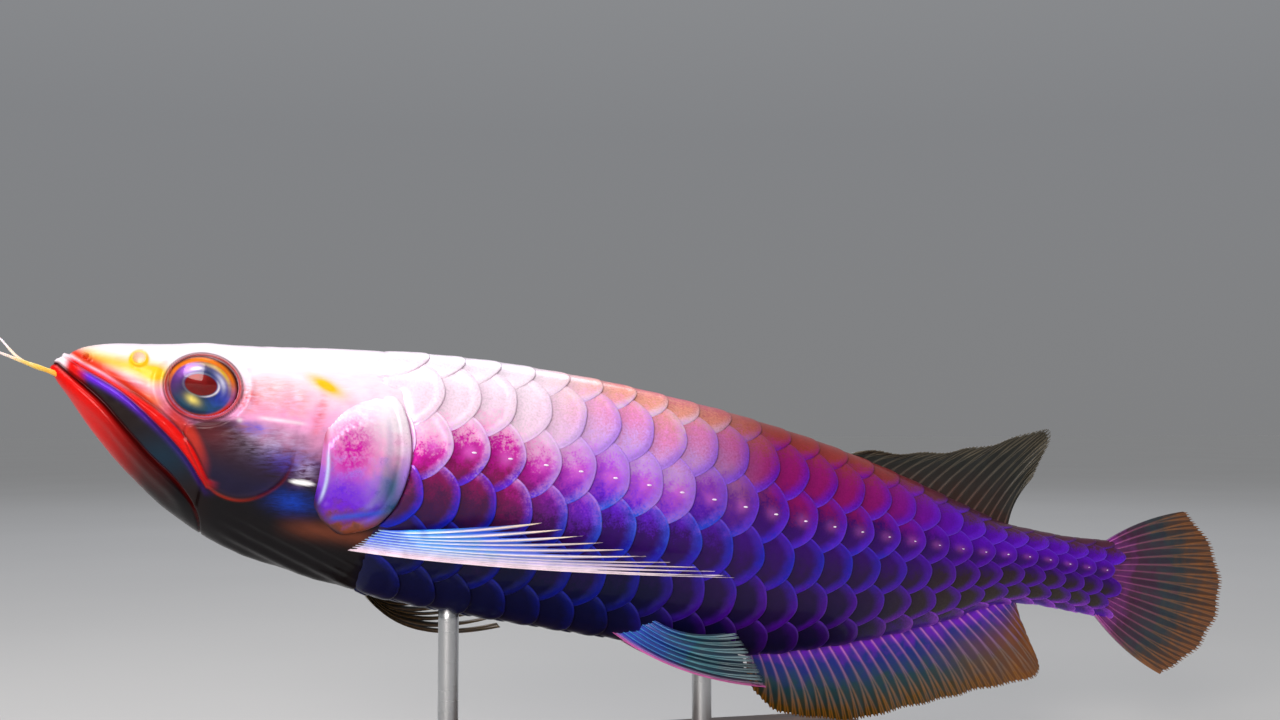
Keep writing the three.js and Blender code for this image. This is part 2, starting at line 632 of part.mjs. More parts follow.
function barbel(side) {
  const { length: reach, root, tip, sides, steps } = BARBEL;
  const line = new THREE.CatmullRomCurve3([at(4, side * 1.9, -3.4), at(0, side * 2.4, -2.2),
    at(-reach * 0.5, side * 3.4, -0.6), at(-reach + 2, side * 5, side > 0 ? 4.5 : 0.8)]);
  const frames = line.computeFrenetFrames(steps, false);
  const rings = [];
  for (let i = 0; i <= steps; i += 1) {
    const radius = root + (tip - root) * (i / steps);
    const ring = [];
    for (let k = 0; k < sides; k += 1) {
      const angle = (2 * Math.PI * k) / sides;
      ring.push(place(line.getPointAt(i / steps)
        .addScaledVector(frames.normals[i], radius * Math.cos(angle))
        .addScaledVector(frames.binormals[i], radius * Math.sin(angle))));
    }
    rings.push(ring);
  }
  return joinRings(rings);
}

function standBase() {
  const { length: long, width, height, corner, bevel } = BASE;
  const [x, y] = [long / 2 - bevel, width / 2 - bevel];
  const shape = new THREE.Shape();
  shape.moveTo(-x + corner, -y);
  shape.lineTo(x - corner, -y);
  shape.absarc(x - corner, -y + corner, corner, -Math.PI / 2, 0);
  shape.absarc(x - corner, y - corner, corner, 0, Math.PI / 2);
  shape.absarc(-x + corner, y - corner, corner, Math.PI / 2, Math.PI);
  shape.absarc(-x + corner, -y + corner, corner, Math.PI, 1.5 * Math.PI);
  const form = new THREE.ExtrudeGeometry(shape, {
    depth: height - 2 * bevel, bevelThickness: bevel, bevelSize: bevel, bevelSegments: 1, curveSegments: 6,
  });
  return solidOf(form.translate(0, 0, bevel));
}

function standRod(s) {
  const foot = BASE.height + GAP;
  const top = place(at(s, 0, BELLY(s) + 8));
  const line = [[0, foot], [ROD.foot, foot], [ROD.foot, foot + ROD.footHeight],
    [ROD.radius, foot + ROD.footHeight + ROD.flare], [ROD.radius, top.z], [0, top.z]];
  const form = new THREE.LatheGeometry(line.map(([r, h]) => new THREE.Vector2(r, h)), 16);
  return solidOf(form.rotateX(Math.PI / 2).translate(top.x, top.y, 0));
}

const fish = new THREE.Group();
const { head, jaw } = makeHead();
fish.add(meshOf("head", head, LOOKS.head));
fish.add(meshOf("lower_jaw", jaw, LOOKS.jaw));

const scaled = scaledSkin();
Object.entries(TRUNK).forEach(([name, ends]) => {
  fish.add(meshOf(name, largest(scaled.intersect(slice(...ends))), SKIN));
});

// The body with its clearance, which trims what meets it.
const clearance = headLength(GAP).add(scaledSkin(GAP).intersect(slice(HEAD_END, STANDARD_LENGTH + 5)));

[["left", -1], ["right", 1]].forEach(([word, side]) => {
  fish.add(meshOf(`eye_${word}`, eyeball(side, 0), LOOKS.eye));
  fish.add(meshOf(`gill_cover_${word}`, gillCover(side), LOOKS.plate));
  fish.add(meshOf(`barbel_${word}`, largest(barbel(side).subtract(clearance)), LOOKS.barbel));
  const { tips, bow } = PECTORAL[word];
  const near = clearance.add(gillCover(side, GAP));
  const pectoral = pectoralFin(side, tips, at(bow[0], side * bow[1], bow[2])).subtract(near);
  fish.add(meshOf(`pectoral_fin_${word}`, largest(pectoral), side < 0 ? LOOKS.fin : LOOKS.darkFin));
  fish.add(meshOf(`pelvic_fin_${word}`, largest(pelvicFin(side).subtract(clearance)), LOOKS.fin));
});

fish.add(meshOf("dorsal_fin", largest(dorsalFin().subtract(clearance)), LOOKS.darkFin));
fish.add(meshOf("anal_fin", largest(analFin().subtract(clearance)), LOOKS.darkFin));
fish.add(meshOf("caudal_fin", caudalFin(), LOOKS.darkFin));

fish.add(meshOf("stand_base", standBase(), LOOKS.base));
Object.entries(RODS).forEach(([name, s]) => {
  fish.add(meshOf(name, largest(standRod(s).subtract(clearance)), LOOKS.rod));
});

export default fish;
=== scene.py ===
"""An asian arowana about 40 cm long, a still museum model on a plain stand: its wet skin, its large
overlapping scales, the eyes, barbels and fins, and the studio light and camera."""
import math

import bpy
import numpy as np
from mathutils import Matrix, Vector


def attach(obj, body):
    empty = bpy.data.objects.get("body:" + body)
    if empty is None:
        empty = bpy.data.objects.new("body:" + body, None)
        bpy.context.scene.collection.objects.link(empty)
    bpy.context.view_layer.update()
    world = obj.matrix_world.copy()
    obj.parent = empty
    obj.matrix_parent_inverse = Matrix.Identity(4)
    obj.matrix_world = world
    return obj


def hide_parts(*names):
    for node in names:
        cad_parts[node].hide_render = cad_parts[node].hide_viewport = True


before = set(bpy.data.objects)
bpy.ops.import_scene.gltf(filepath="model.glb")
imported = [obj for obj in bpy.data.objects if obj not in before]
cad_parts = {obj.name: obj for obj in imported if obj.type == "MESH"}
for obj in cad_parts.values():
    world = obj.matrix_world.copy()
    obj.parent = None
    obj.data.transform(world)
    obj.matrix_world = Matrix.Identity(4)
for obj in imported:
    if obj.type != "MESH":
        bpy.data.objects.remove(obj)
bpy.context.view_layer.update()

# Sizes are in millimetres. A place on the fish is (s, l, z): s runs from the snout back along the
# spine, l out from the spine with the right flank positive, and z up from the spine.
MM = 0.001
STANDARD_LENGTH = 345
LEFT, RIGHT = -1, 1
SIDES = {"left": LEFT, "right": RIGHT}

# The pose: straight as far as the gills, then one even curve, and the whole fish head-up.
BEND_START, BEND_END, BEND = 95, 400, math.radians(10)
HEAD_UP = math.radians(11.5)
HELD_AT = (165, -10)
HELD_HEIGHT, HELD_SIDE = 86, -3

# How finely the table of the body's surface is worked out, and how widely it is evened round.
TABLE_STEP = 0.5
TABLE_ROUND = 720
TABLE_EVEN = 3
SECTION_STEPS = 360

# The scale rows: half of them lie on each flank, and every second row is shifted by half a scale.
SCALE_ROWS, SCALE_COLUMNS = 12, 28
SCALE_START, SCALE_LENGTH = 78, 10.4
SCALE_SHORTENING, SCALE_SHORTENS_FROM = 0.17, 15
SCALE_BOW, SCALE_ROUND = 1.3, 0.78
SCALE_HALF_SPAN = 0.77
SCALE_BURIED = 1.72
SCALE_RISE, SCALE_SEAT = 0.98, -0.15
SCALE_DOME = 0.34
SCALE_THICK, SCALE_LIP = 0.34, 0.42
SCALE_ACROSS, SCALE_ALONG = 24, 18
PORE_ROW, PORE_BACK = 2, 0.42
SKIN_UNDER_SCALES = -0.55

SKIN_ROUND = 400
HEAD_STEP, HEAD_TO, TRUNK_STEP = 0.4, 104, 2.4

GAPE = [[-3, 2.2], [2.2, -0.7], [7.8, -3.6], [13.7, -7.1], [21.3, -13], [29, -18.9], [40, -26.8],
        [45.5, -34], [49, -48]]
BLADE_TOP = [[-3, 4], [5.7, 1], [18.1, -3.4], [29.8, -10.4], [39.1, -17.5], [46, -25]]
BLADE_END = 45
EYE = {"s": 39.4, "z": 2.1, "out": 9.9, "along": 9.4, "deep": 4.6, "high": 8.3}
EYE_FORWARD, EYE_UP = math.radians(7.5), math.radians(9)
PUPIL_ALONG, PUPIL_HIGH, PUPIL_UP = 0.47, 0.35, 0.12
NOSTRILS = [(21.2, 6.2, 1.8), (7.5, 3.8, 1)]
CHEEK = [[36.1, -9.4], [42, -18.4], [47.3, -25], [55.7, -26.5], [62.5, -22.6], [66.2, -17.5],
         [67, -9], [66.2, -3.7], [49.7, -4.6]]
BEHIND_EYE = [[50.5, 8], [64, 10], [69.5, 6], [69.5, -1.6], [50.4, -2.8]]
GILL_OUTLINE = [[69.3, 4.8], [70.4, 11], [76, 14.6], [83.1, 13.4], [91.3, 9.8], [95.7, 3],
                [98.1, -4.3], [98.5, -12.1], [96.9, -20.4], [93, -26.4], [86, -30], [79, -32.6],
                [73, -33.6], [73.4, -27], [74.4, -17.3], [72.6, -5.2]]
GILL_FREE = [[85, 8.5], [79, 4.5], [75, -1], [73.6, -6], [73.8, -12], [74, -18], [74.4, -23],
             [77, -28], [82, -31.5], [90, -36], [112, -38], [115, 0], [108, 18], [95, 15]]
GILL_CENTRE = (84.5, -9.5)

PECTORAL = {
    "left": {"bow": (-2, 3, -1.5), "tips": [(194, 30, -22), (186, 29, -21), (171, 27.5, -21),
                                          (158, 26, -19.5), (146, 25, -18), (134, 24, -16.5)]},
    "right": {"bow": (-8, 0, -12), "tips": [(150, 62, -56), (144, 56, -52), (136, 49, -48),
                                            (128, 42, -45), (120, 36, -42), (112, 30, -39)]},
}
TAIL = {"half": 11.6, "reach": 55, "height": 34.5, "spread": 1}

BASE = {"length": 190, "width": 100, "height": 12, "corner": 22, "bevel": 1.6}
ROD = {"radius": 3, "foot": 7.5, "foot_height": 2.2, "flare": 5}
RODS = {"stand_rod_front": 120, "stand_rod_rear": 200}
ROD_SIDES = 64

# The camera, fitted to the picture's 1280 x 720 frame.
FRAME_WIDTH = 1280
CAMERA_AT = (-107.8, -430.6, 112.1)
CAMERA_AZIMUTH, CAMERA_ELEVATION = math.radians(-15), math.radians(-2.6)
CAMERA_FOCAL = 1449.1
SENSOR = 36

# The fish's pigments.
PEARL, MILK, BLUSH, PEACH, CORAL = "fdf0fa", "fbdcf2", "f6a8d8", "f6a890", "f0648c"
ROSE, MAGENTA, CRIMSON, WINE = "f494d0", "cc0ca4", "86125a", "4c1648"
LILAC, LAVENDER, ORCHID, VIOLET = "dcaef8", "b482f0", "c058ee", "6a22e0"
PURPLE, INDIGO, AUBERGINE = "5a06b4", "38046e", "2c124a"
AZURE, COBALT, NIGHT = "2e5ef0", "0e22cc", "0a0e3c"
BRICK, BERRY, DUSK, RUST, SALMON = "94322e", "92106a", "54283c", "86442c", "d8705f"
# The last of these, a near black, is painted shade under the throat and jaw.
OLIVE, UMBER, SHADE_BLACK = "3c3430", "32202c", "0c080c"
SCARLET, EMBER, AMBER, GOLD, OXBLOOD = "e00c06", "d83010", "f07a10", "f6c21a", "4a0505"
TEAL, WHITE = "14586e", "ffffff"

rng = np.random.default_rng(7)


def profile(points):
    """A smooth line through the points that never overshoots them."""
    x, y = np.array(points, float).T
    step = np.diff(x)
    rise = np.diff(y) / step
    slope = np.concatenate([rise[:1], np.zeros(len(x) - 2), rise[-1:]])
    for i in range(1, len(x) - 1):
        if rise[i - 1] * rise[i] > 0:
            before = 2 * step[i] + step[i - 1]
            after = step[i] + 2 * step[i - 1]
            slope[i] = (before + after) / (before / rise[i - 1] + after / rise[i])

    def value(where):
        p = np.clip(where, x[0], x[-1])
        i = np.clip(np.searchsorted(x, p, side="right") - 1, 0, len(step) - 1)
        t = (p - x[i]) / step[i]
        u = 1 - t
        return (y[i] * (1 + 2 * t) * u * u + step[i] * slope[i] * t * u * u
                + y[i + 1] * t * t * (3 - 2 * t) - step[i] * slope[i + 1] * t * t * u)
    return value


BACK = profile([[0, 2], [6, 6.6], [14, 9.3], [24, 11.2], [38, 14], [55, 17.2], [75, 20.9],
                [97, 24.2], [125, 26.8], [155, 27.7], [185, 27], [214, 25], [240, 21.8],
                [265, 17.4], [285, 13.4], [303, 10.4], [320, 10.4], [345, 12.2]])
BELLY = profile([[0, -1.5], [6, -9], [14, -17], [24, -25.2], [38, -34.2], [55, -41],
                 [75, -44.6], [97, -46.8], [125, -47.6], [155, -47.4], [185, -46.9],
                 [214, -45.4], [240, -39.4], [265, -31.2], [285, -23.4], [303, -15.6],
                 [320, -13.2], [345, -13.4]])
HALF_WIDTH = profile([[0, 2.2], [6, 6], [14, 9], [24, 11.4], [38, 13.6], [55, 15.4], [75, 17],
                      [97, 18], [125, 18.6], [155, 18.6], [185, 17.9], [214, 16.2], [240, 13.6],
                      [265, 10.6], [285, 8.2], [303, 6.4], [320, 5], [345, 2.8]])
WIDEST_SHARE = profile([[0, 0.45], [38, 0.43], [75, 0.42], [214, 0.41], [265, 0.43], [345, 0.5]])
ROOF_POWER = profile([[0, 2.3], [20, 2.8], [45, 3.1], [75, 2.9], [125, 2.5], [345, 2.3]])
KEEL_POWER = profile([[0, 2.1], [40, 1.9], [97, 1.75], [240, 1.8], [345, 2.1]])
GAPE_LINE = profile(GAPE)
BLADE_LINE = profile(BLADE_TOP)
TAIL_MIDDLE = (BACK(STANDARD_LENGTH) + BELLY(STANDARD_LENGTH)) / 2


def smooth(x, low, high):
    """An even rise from 0 at low to 1 at high."""
    t = np.clip((x - low) / (high - low), 0, 1)
    return t * t * (3 - 2 * t)


def fade(x, low, high):
    """An even fall from 1 at low to 0 at high."""
    return 1 - smooth(x, low, high)


def bump(distance, width):
    """A soft rise to 1 where the distance is 0."""
    return np.exp(-(distance / width) ** 2)


def spot(s, z, middle_s, middle_z, size, long=1, high=1):
    """A soft spot on the flank, drawn out along the fish or upward."""
    return bump(np.hypot((s - middle_s) / long, (z - middle_z) / high), size)


def inside(outline, s, z):
    """How far places lie inside a closed outline, negative outside it."""
    nearest = np.full(s.shape, 1e9)
    crossings = np.zeros(s.shape, int)
    corners = np.array(outline, float)
    for (s0, z0), (s1, z1) in zip(corners, np.roll(corners, -1, axis=0)):
        long = (s1 - s0) ** 2 + (z1 - z0) ** 2
        t = np.clip(((s - s0) * (s1 - s0) + (z - z0) * (z1 - z0)) / long, 0, 1)
        nearest = np.minimum(nearest, np.hypot(s - s0 - t * (s1 - s0), z - z0 - t * (z1 - z0)))
        if z0 != z1:
            crossings += ((z0 > z) != (z1 > z)) & (s < s0 + (z - z0) / (z1 - z0) * (s1 - s0))
    return np.where(crossings % 2 == 1, nearest, -nearest)


def place(p):
    """From the straight fish in millimetres to the posed one in metres."""
    s, l, z = np.moveaxis(np.asarray(p, float), -1, 0)
    turn = np.maximum(s - BEND_START, 0) * BEND / (BEND_END - BEND_START)
    radius = (BEND_END - BEND_START) / BEND
    x = np.minimum(s, BEND_START) + np.sin(turn) * (radius - l) - HELD_AT[0]
    y = (1 - np.cos(turn)) * radius + np.cos(turn) * l + HELD_SIDE
    up = z - HELD_AT[1]
    return MM * np.stack([x * math.cos(HEAD_UP) + up * math.sin(HEAD_UP), y,
                          up * math.cos(HEAD_UP) - x * math.sin(HEAD_UP) + HELD_HEIGHT], -1)


def body_table():
    """The bare body as a table over the stations and the way round: places and normals."""
    stations = np.arange(0, STANDARD_LENGTH + TABLE_STEP / 2, TABLE_STEP)
    back, belly = BACK(stations), BELLY(stations)
    widest = back - WIDEST_SHARE(stations) * (back - belly)
    angle = math.pi * (0.5 - np.arange(SECTION_STEPS + 1) / SECTION_STEPS)[None, :]
    roof = angle > 0
    power = 2 / np.where(roof, ROOF_POWER(stations)[:, None], KEEL_POWER(stations)[:, None])
    height = np.where(roof, (back - widest)[:, None], (widest - belly)[:, None])
    out = HALF_WIDTH(stations)[:, None] * np.clip(np.cos(angle), 0, 1) ** power
    z = widest[:, None] + np.sign(angle) * height * np.abs(np.sin(angle)) ** power
    passed = np.cumsum(np.hypot(np.diff(out, axis=1), np.diff(z, axis=1)), axis=1)
    passed = np.concatenate([np.zeros((len(stations), 1)), passed], axis=1)
    share = np.arange(TABLE_ROUND) / TABLE_ROUND
    way = 2 * np.minimum(share, 1 - share)
    side = np.where(share < 0.5, LEFT, RIGHT)
    places = np.empty((len(stations), TABLE_ROUND, 2))
    for i, girth in enumerate(passed[:, -1]):
        places[i, :, 0] = side * np.interp(way * girth, passed[i], out[i])
        places[i, :, 1] = np.interp(way * girth, passed[i], z[i])
    near = np.arange(-2 * TABLE_EVEN, 2 * TABLE_EVEN + 1)
    weight = bump(near, TABLE_EVEN)
    weight = weight / weight.sum()
    places = sum(w * np.roll(places, n, axis=1) for n, w in zip(near, weight))
    along = np.gradient(places, TABLE_STEP, axis=0)
    along = np.concatenate([np.ones_like(along[..., :1]), along], axis=-1)
    around = np.roll(places, -1, axis=1) - np.roll(places, 1, axis=1)
    around = np.concatenate([np.zeros_like(around[..., :1]), around], axis=-1)
    normal = np.cross(around, along)
    normal /= np.linalg.norm(normal, axis=-1, keepdims=True)
    return places, normal


BODY, BODY_NORMAL = body_table()


def from_table(table, s, share):
    """What the table of the body says at s and at a share round, between its entries."""
    row = np.clip(s / TABLE_STEP, 0, len(table) - 1.001)
    column = (share % 1) * TABLE_ROUND
    i, k = row.astype(int), np.minimum(column.astype(int), TABLE_ROUND - 1)
    back, on = (row - i)[..., None], (column - k)[..., None]
    after = (k + 1) % TABLE_ROUND
    near = table[i, k] * (1 - on) + table[i, after] * on
    far = table[i + 1, k] * (1 - on) + table[i + 1, after] * on
    return near * (1 - back) + far * back


def bare_skin(s, share):
    """The bare body's places at s and at a share round: from the back, down the left flank to the
    belly at 0.5 and up the right flank to 1."""
    s, share = np.broadcast_arrays(np.asarray(s, float), np.asarray(share, float))
    section = from_table(BODY, s, share)
    return np.concatenate([s[..., None], section], axis=-1)


def skin_normal(s, share):
    """The way straight out of the bare skin."""
    s, share = np.broadcast_arrays(np.asarray(s, float), np.asarray(share, float))
    normal = from_table(BODY_NORMAL, s, share)
    return normal / np.linalg.norm(normal, axis=-1, keepdims=True)


def share_at(s, z, side):
    """The share round at which the skin of a flank has a height."""
    s, z = np.broadcast_arrays(np.asarray(s, float), np.asarray(z, float))
    half = TABLE_ROUND // 2
    rows = np.clip(np.rint(s / TABLE_STEP).astype(int), 0, len(BODY) - 1)
    heights = BODY[rows][..., : half + 1, 1]
    k = np.clip((heights > z[..., None]).sum(-1), 1, half)
    above = np.take_along_axis(heights, k[..., None] - 1, -1)[..., 0]
    below = np.take_along_axis(heights, k[..., None], -1)[..., 0]
    share = (k - 1 + np.clip((above - z) / np.maximum(above - below, 1e-6), 0, 1)) / TABLE_ROUND
    return np.where(side == LEFT, share, 1 - share)


def rounded(outline):
    """A closed outline with its corners rounded."""
    points = catmull_rom([(s, 0, z) for s, z in outline], np.arange(72) / 72, True)
    for _ in range(8):
        points = (np.roll(points, 1, axis=0) + points + np.roll(points, -1, axis=0)) / 3
    return points[:, [0, 2]]


def eye_ring(s, z):
    """How far from the middle of the eye, as a share of its half sizes."""
    return np.hypot((s - EYE["s"]) / EYE["along"], (z - EYE["z"]) / EYE["high"])


def gape_side(s, z):
    """How far over the line of the mouth, square to it."""
    return (z - GAPE_LINE(s)) * 0.79


def blade_side(s, z):
    """How far over the upper jaw's blade, square to its top, and how wide the lip on it is."""
    return (z - BLADE_LINE(s)) * 0.8, 0.9 + 2.1 * smooth(s, 16, 36) - 1.2 * smooth(s, 40, 48)


def scale_strength(s, z):
    """How far the scales stand out: hardly under the gill cover, fully just behind it."""
    behind = -inside(GILL_OUTLINE, s, z)
    on_top = smooth(z, 10, 16) * smooth(s, 80, 92)
    from_gill = smooth(behind, -1, 3.5) * smooth(s, 90, 96)
    return np.maximum(np.maximum(from_gill, on_top), 0.05)


def head_relief(s, z):
    """What stands out of the bare skin on the head: lips, blade, eye rim, plates and nostrils."""
    above = gape_side(s, z)
    band, band_width = blade_side(s, z)
    fades = fade(s, 44, 50)
    rise = -1.3 * bump(above, 0.55) * fade(s, 43, 49)
    rise += 1.1 * fade(s, 36, 44) * bump(above + 2, 2)
    blade = np.minimum(np.minimum(above - 0.4, -band), BLADE_END - s)
    rise += 0.75 * smooth(blade, 0, 0.9) * smooth(s, 2, 8)
    rise += 0.85 * fades * bump((band - 0.5 * band_width) / (0.3 + 0.5 * band_width), 1)
    rise -= 0.45 * fades * bump(band - band_width - 0.4, 0.45)
    rise -= 0.35 * fades * bump(band, 0.3)
    rise += 0.3 * bump(z - 0.2 + 0.03 * s, 1.1) * smooth(s, 3, 8) * fade(s, 20, 28)
    # The orbit: its rim, the groove round it and the wall of the socket.
    ring = eye_ring(s, z)
    rise += 0.55 * bump(ring - 1.07, 0.055)
    rise -= 0.45 * bump(ring - 1.2, 0.06) * smooth(EYE["z"] - z, -4, 5)
    rise += 0.25 * bump(ring - 1.38, 0.09)
    rise -= 3.2 * fade(ring, 0.95, 1.0)
    # The plates of the cheek and behind the eye, the brow and the joint of the jaw.
    plate = inside(rounded(CHEEK), s, z)
    low_front = smooth(-z - 0.45 * (s - 50), 0, 12)
    rise += (0.25 + 0.4 * low_front) * smooth(plate, -0.6, 0.8) + 0.3 * smooth(plate, 0, 6)
    rise += 0.12 * low_front * bump(plate - 0.7, 0.45)
    rear = inside(rounded(BEHIND_EYE), s, z)
    rise += 0.18 * smooth(rear, -0.5, 2) + 0.06 * bump(rear - 0.6, 0.5)
    rise += 0.45 * bump(z - 13.6 - 0.08 * (s - 39), 1.3) * bump(s - 39, 14)
    rise += 0.5 * spot(s, z, 43, -26, 3)
    for s0, z0, radius in NOSTRILS:
        away = np.hypot(s - s0, z - z0)
        rise += 0.6 * bump(away - radius, 0.45) - 1.2 * fade(away, radius * 0.5, radius * 0.95)
    folds = smooth(s, 48, 60) * smooth(-30 - z, -3, 4)
    rise += 0.2 * folds * np.sin((z + 0.32 * (s - 60)) * 1.9)
    ripple = np.sin(s * 0.9 + 2 * np.sin(z * 0.35)) * np.sin(z * 0.7 + 1.4 * np.sin(s * 0.31))
    rise += 0.05 * ripple * smooth(s, 6, 20)
    return rise * (1 - smooth(s, 66, 72) * smooth(-z, 28, 25)) * fade(s, 84, 96)


def make_piece(name, points, faces, material, masks=None, chart=None, replaced=(), posed=True):
    """A smooth mesh piece from lists of faces and places on the fish, or from places in metres
    where it isn't posed with the fish."""
    points = np.asarray(points, float).reshape(-1, 3)
    vertices = place(points) if posed else points
    volume = 0
    for face in faces:
        a, b, c = (vertices[face[:, i]] for i in (0, 1, 2))
        volume += np.einsum("ij,ij->", np.cross(a, b), c)
        if face.shape[1] == 4:
            volume += np.einsum("ij,ij->", np.cross(a, c), vertices[face[:, 3]])
    if volume < 0:
        faces = [face[:, ::-1] for face in faces]
    corners = np.concatenate([face.ravel() for face in faces])
    sizes = np.concatenate([np.full(len(face), face.shape[1]) for face in faces])
    starts = np.concatenate([[0], np.cumsum(sizes)[:-1]])
    mesh = bpy.data.meshes.new(name)
    mesh.vertices.add(len(vertices))
    mesh.vertices.foreach_set("co", np.ascontiguousarray(vertices, np.float32).ravel())
    mesh.loops.add(len(corners))
    mesh.loops.foreach_set("vertex_index", corners.astype(np.int32))
    mesh.polygons.add(len(sizes))
    mesh.polygons.foreach_set("loop_start", starts.astype(np.int32))
    mesh.update(calc_edges=True)
    mesh.shade_smooth()
    for mask, values in (masks or {}).items():
        attribute = mesh.attributes.new(mask, "FLOAT", "POINT")
        attribute.data.foreach_set("value", np.asarray(values, np.float32).ravel())
    if chart is not None:
        layer = mesh.uv_layers.new(name="OFBake")
        layer.data.foreach_set("uv", chart.reshape(-1, 2)[corners].astype(np.float32).ravel())
    mesh.materials.append(material)
    piece = bpy.data.objects.new(name, mesh)
    bpy.context.scene.collection.objects.link(piece)
    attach(piece, "root")
    if replaced:
        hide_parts(*replaced)


def slab_faces(rows, columns):
    """The quads of a closed slab: an upper grid of points, then the lower grid under it."""
    count = rows * columns
    grid = np.arange(count).reshape(rows, columns)
    upper = np.stack([grid[:-1, :-1], grid[1:, :-1], grid[1:, 1:], grid[:-1, 1:]], -1).reshape(-1, 4)
    border = np.concatenate([grid[:-1, 0], grid[-1, :-1], grid[:0:-1, -1], grid[0, :0:-1]])
    after = np.roll(border, -1)
    rim = np.stack([after, border, border + count, after + count], -1)
    return np.concatenate([upper, upper[:, ::-1] + count, rim])


def tube_faces(rings, sides):
    """The quads of a tube of rings, and the triangles of a fan over each end. The two points at
    the ends' middles come after the rings."""
    grid = np.arange(rings * sides).reshape(rings, sides)
    beside = np.roll(grid, -1, axis=1)
    wall = np.stack([grid[:-1], beside[:-1], beside[1:], grid[1:]], -1).reshape(-1, 4)
    first = np.stack([beside[0], grid[0], np.full(sides, rings * sides)], -1)
    last = np.stack([grid[-1], beside[-1], np.full(sides, rings * sides + 1)], -1)
    return [wall, np.concatenate([first, last])]


def shell(outer, inner):
    """The points of a closed shell. Its rings run out over the outer face and back in over the
    inner one, and the middles of the two faces come after them."""
    points = np.concatenate([outer, inner[::-1]])
    return np.concatenate([points.reshape(-1, 3), [points[0].mean(0), points[-1].mean(0)]])


def shell_masks(masks):
    """Masks given on one face of a shell, for all its points."""
    return {name: np.concatenate([mask.ravel(), mask[::-1].ravel(), mask[0, :1], mask[0, :1]])
            for name, mask in masks.items()}


def linear(code, alpha=1.0):
    """A linear colour from an sRGB hex value."""
    channels = [int(code[i:i + 2], 16) / 255 for i in (0, 2, 4)]
    return tuple(c / 12.92 if c <= 0.04045 else ((c + 0.055) / 1.055) ** 2.4 for c in channels) + (alpha,)


def add(tree, kind, feeds=None, stops=None, output=0, **settings):
    """Adds a node with its settings and gives back one of its outputs. What feeds an input is
    another node's output, the name of a mask or a value, and a ramp has its colour stops."""
    node = tree.nodes.new("ShaderNode" + kind)
    for name, value in settings.items():
        setattr(node, name, value)
    for name, value in (feeds or {}).items():
        if isinstance(value, str):
            value = add(tree, "Attribute", output="Fac", attribute_name=value)
        if isinstance(value, bpy.types.NodeSocket):
            tree.links.new(value, node.inputs[name])
        else:
            node.inputs[name].default_value = value
    if stops:
        elements = node.color_ramp.elements
        while len(elements) < len(stops):
            elements.new(1)
        for element, (position, code) in zip(elements, stops):
            element.position = position
            element.color = linear(code)
    return node.outputs[output]


def material_of(name, **finish):
    """A new material with the constant values of its shader set on the shader's own sockets, its
    tree, and the place on the object in metres."""
    material = bpy.data.materials.new(name)
    material.use_nodes = True
    shader = material.node_tree.nodes["Principled BSDF"]
    for socket, value in finish.items():
        shader.inputs[socket.replace("_", " ")].default_value = value
    return material, material.node_tree, add(material.node_tree, "TexCoord", output="Object")


def surfaced(material, colour, grain=None, rough=None, relief=None):
    """Gives a material its colour, a grain that lightens and darkens it, and its roughness, each
    as a pattern and the range that it fills, and a fine relief as a pattern, its strength and its
    depth in millimetres."""
    tree = material.node_tree
    inputs = tree.nodes["Principled BSDF"].inputs
    lightness, roughness = [
        filled and add(tree, "MapRange", {"Value": filled[0], "To Min": filled[1], "To Max": filled[2]})
        for filled in (grain, rough)]
    if grain:
        colour = add(tree, "HueSaturation", {"Color": colour, "Value": lightness})
    if rough:
        tree.links.new(roughness, inputs["Roughness"])
    if relief:
        pattern, strength, depth = relief
        fine = add(tree, "Bump", {"Height": pattern, "Strength": strength, "Distance": depth * MM})
        tree.links.new(fine, inputs["Normal"])
    if isinstance(colour, str):
        inputs["Base Color"].default_value = linear(colour)
    else:
        tree.links.new(colour, inputs["Base Color"])
    return material


# The inputs of a colour mix, and its output.
SHARE, UNDER, OVER, MIXED = 0, 6, 7, 2


def layered(tree, colour, layers):
    """A colour with pigments laid over it one after another, each where its mask says."""
    for mask, pigment in layers:
        over = linear(pigment) if isinstance(pigment, str) else pigment
        colour = add(tree, "Mix", {SHARE: mask, UNDER: colour, OVER: over}, output=MIXED,
                     data_type="RGBA")
    return colour


def varied(tree, level, pattern, amount):
    """A level moved up and down by a pattern."""
    shift = add(tree, "Math", {0: pattern, 1: amount, 2: -amount / 2}, operation="MULTIPLY_ADD")
    return add(tree, "Math", {0: level, 1: shift}, operation="ADD")


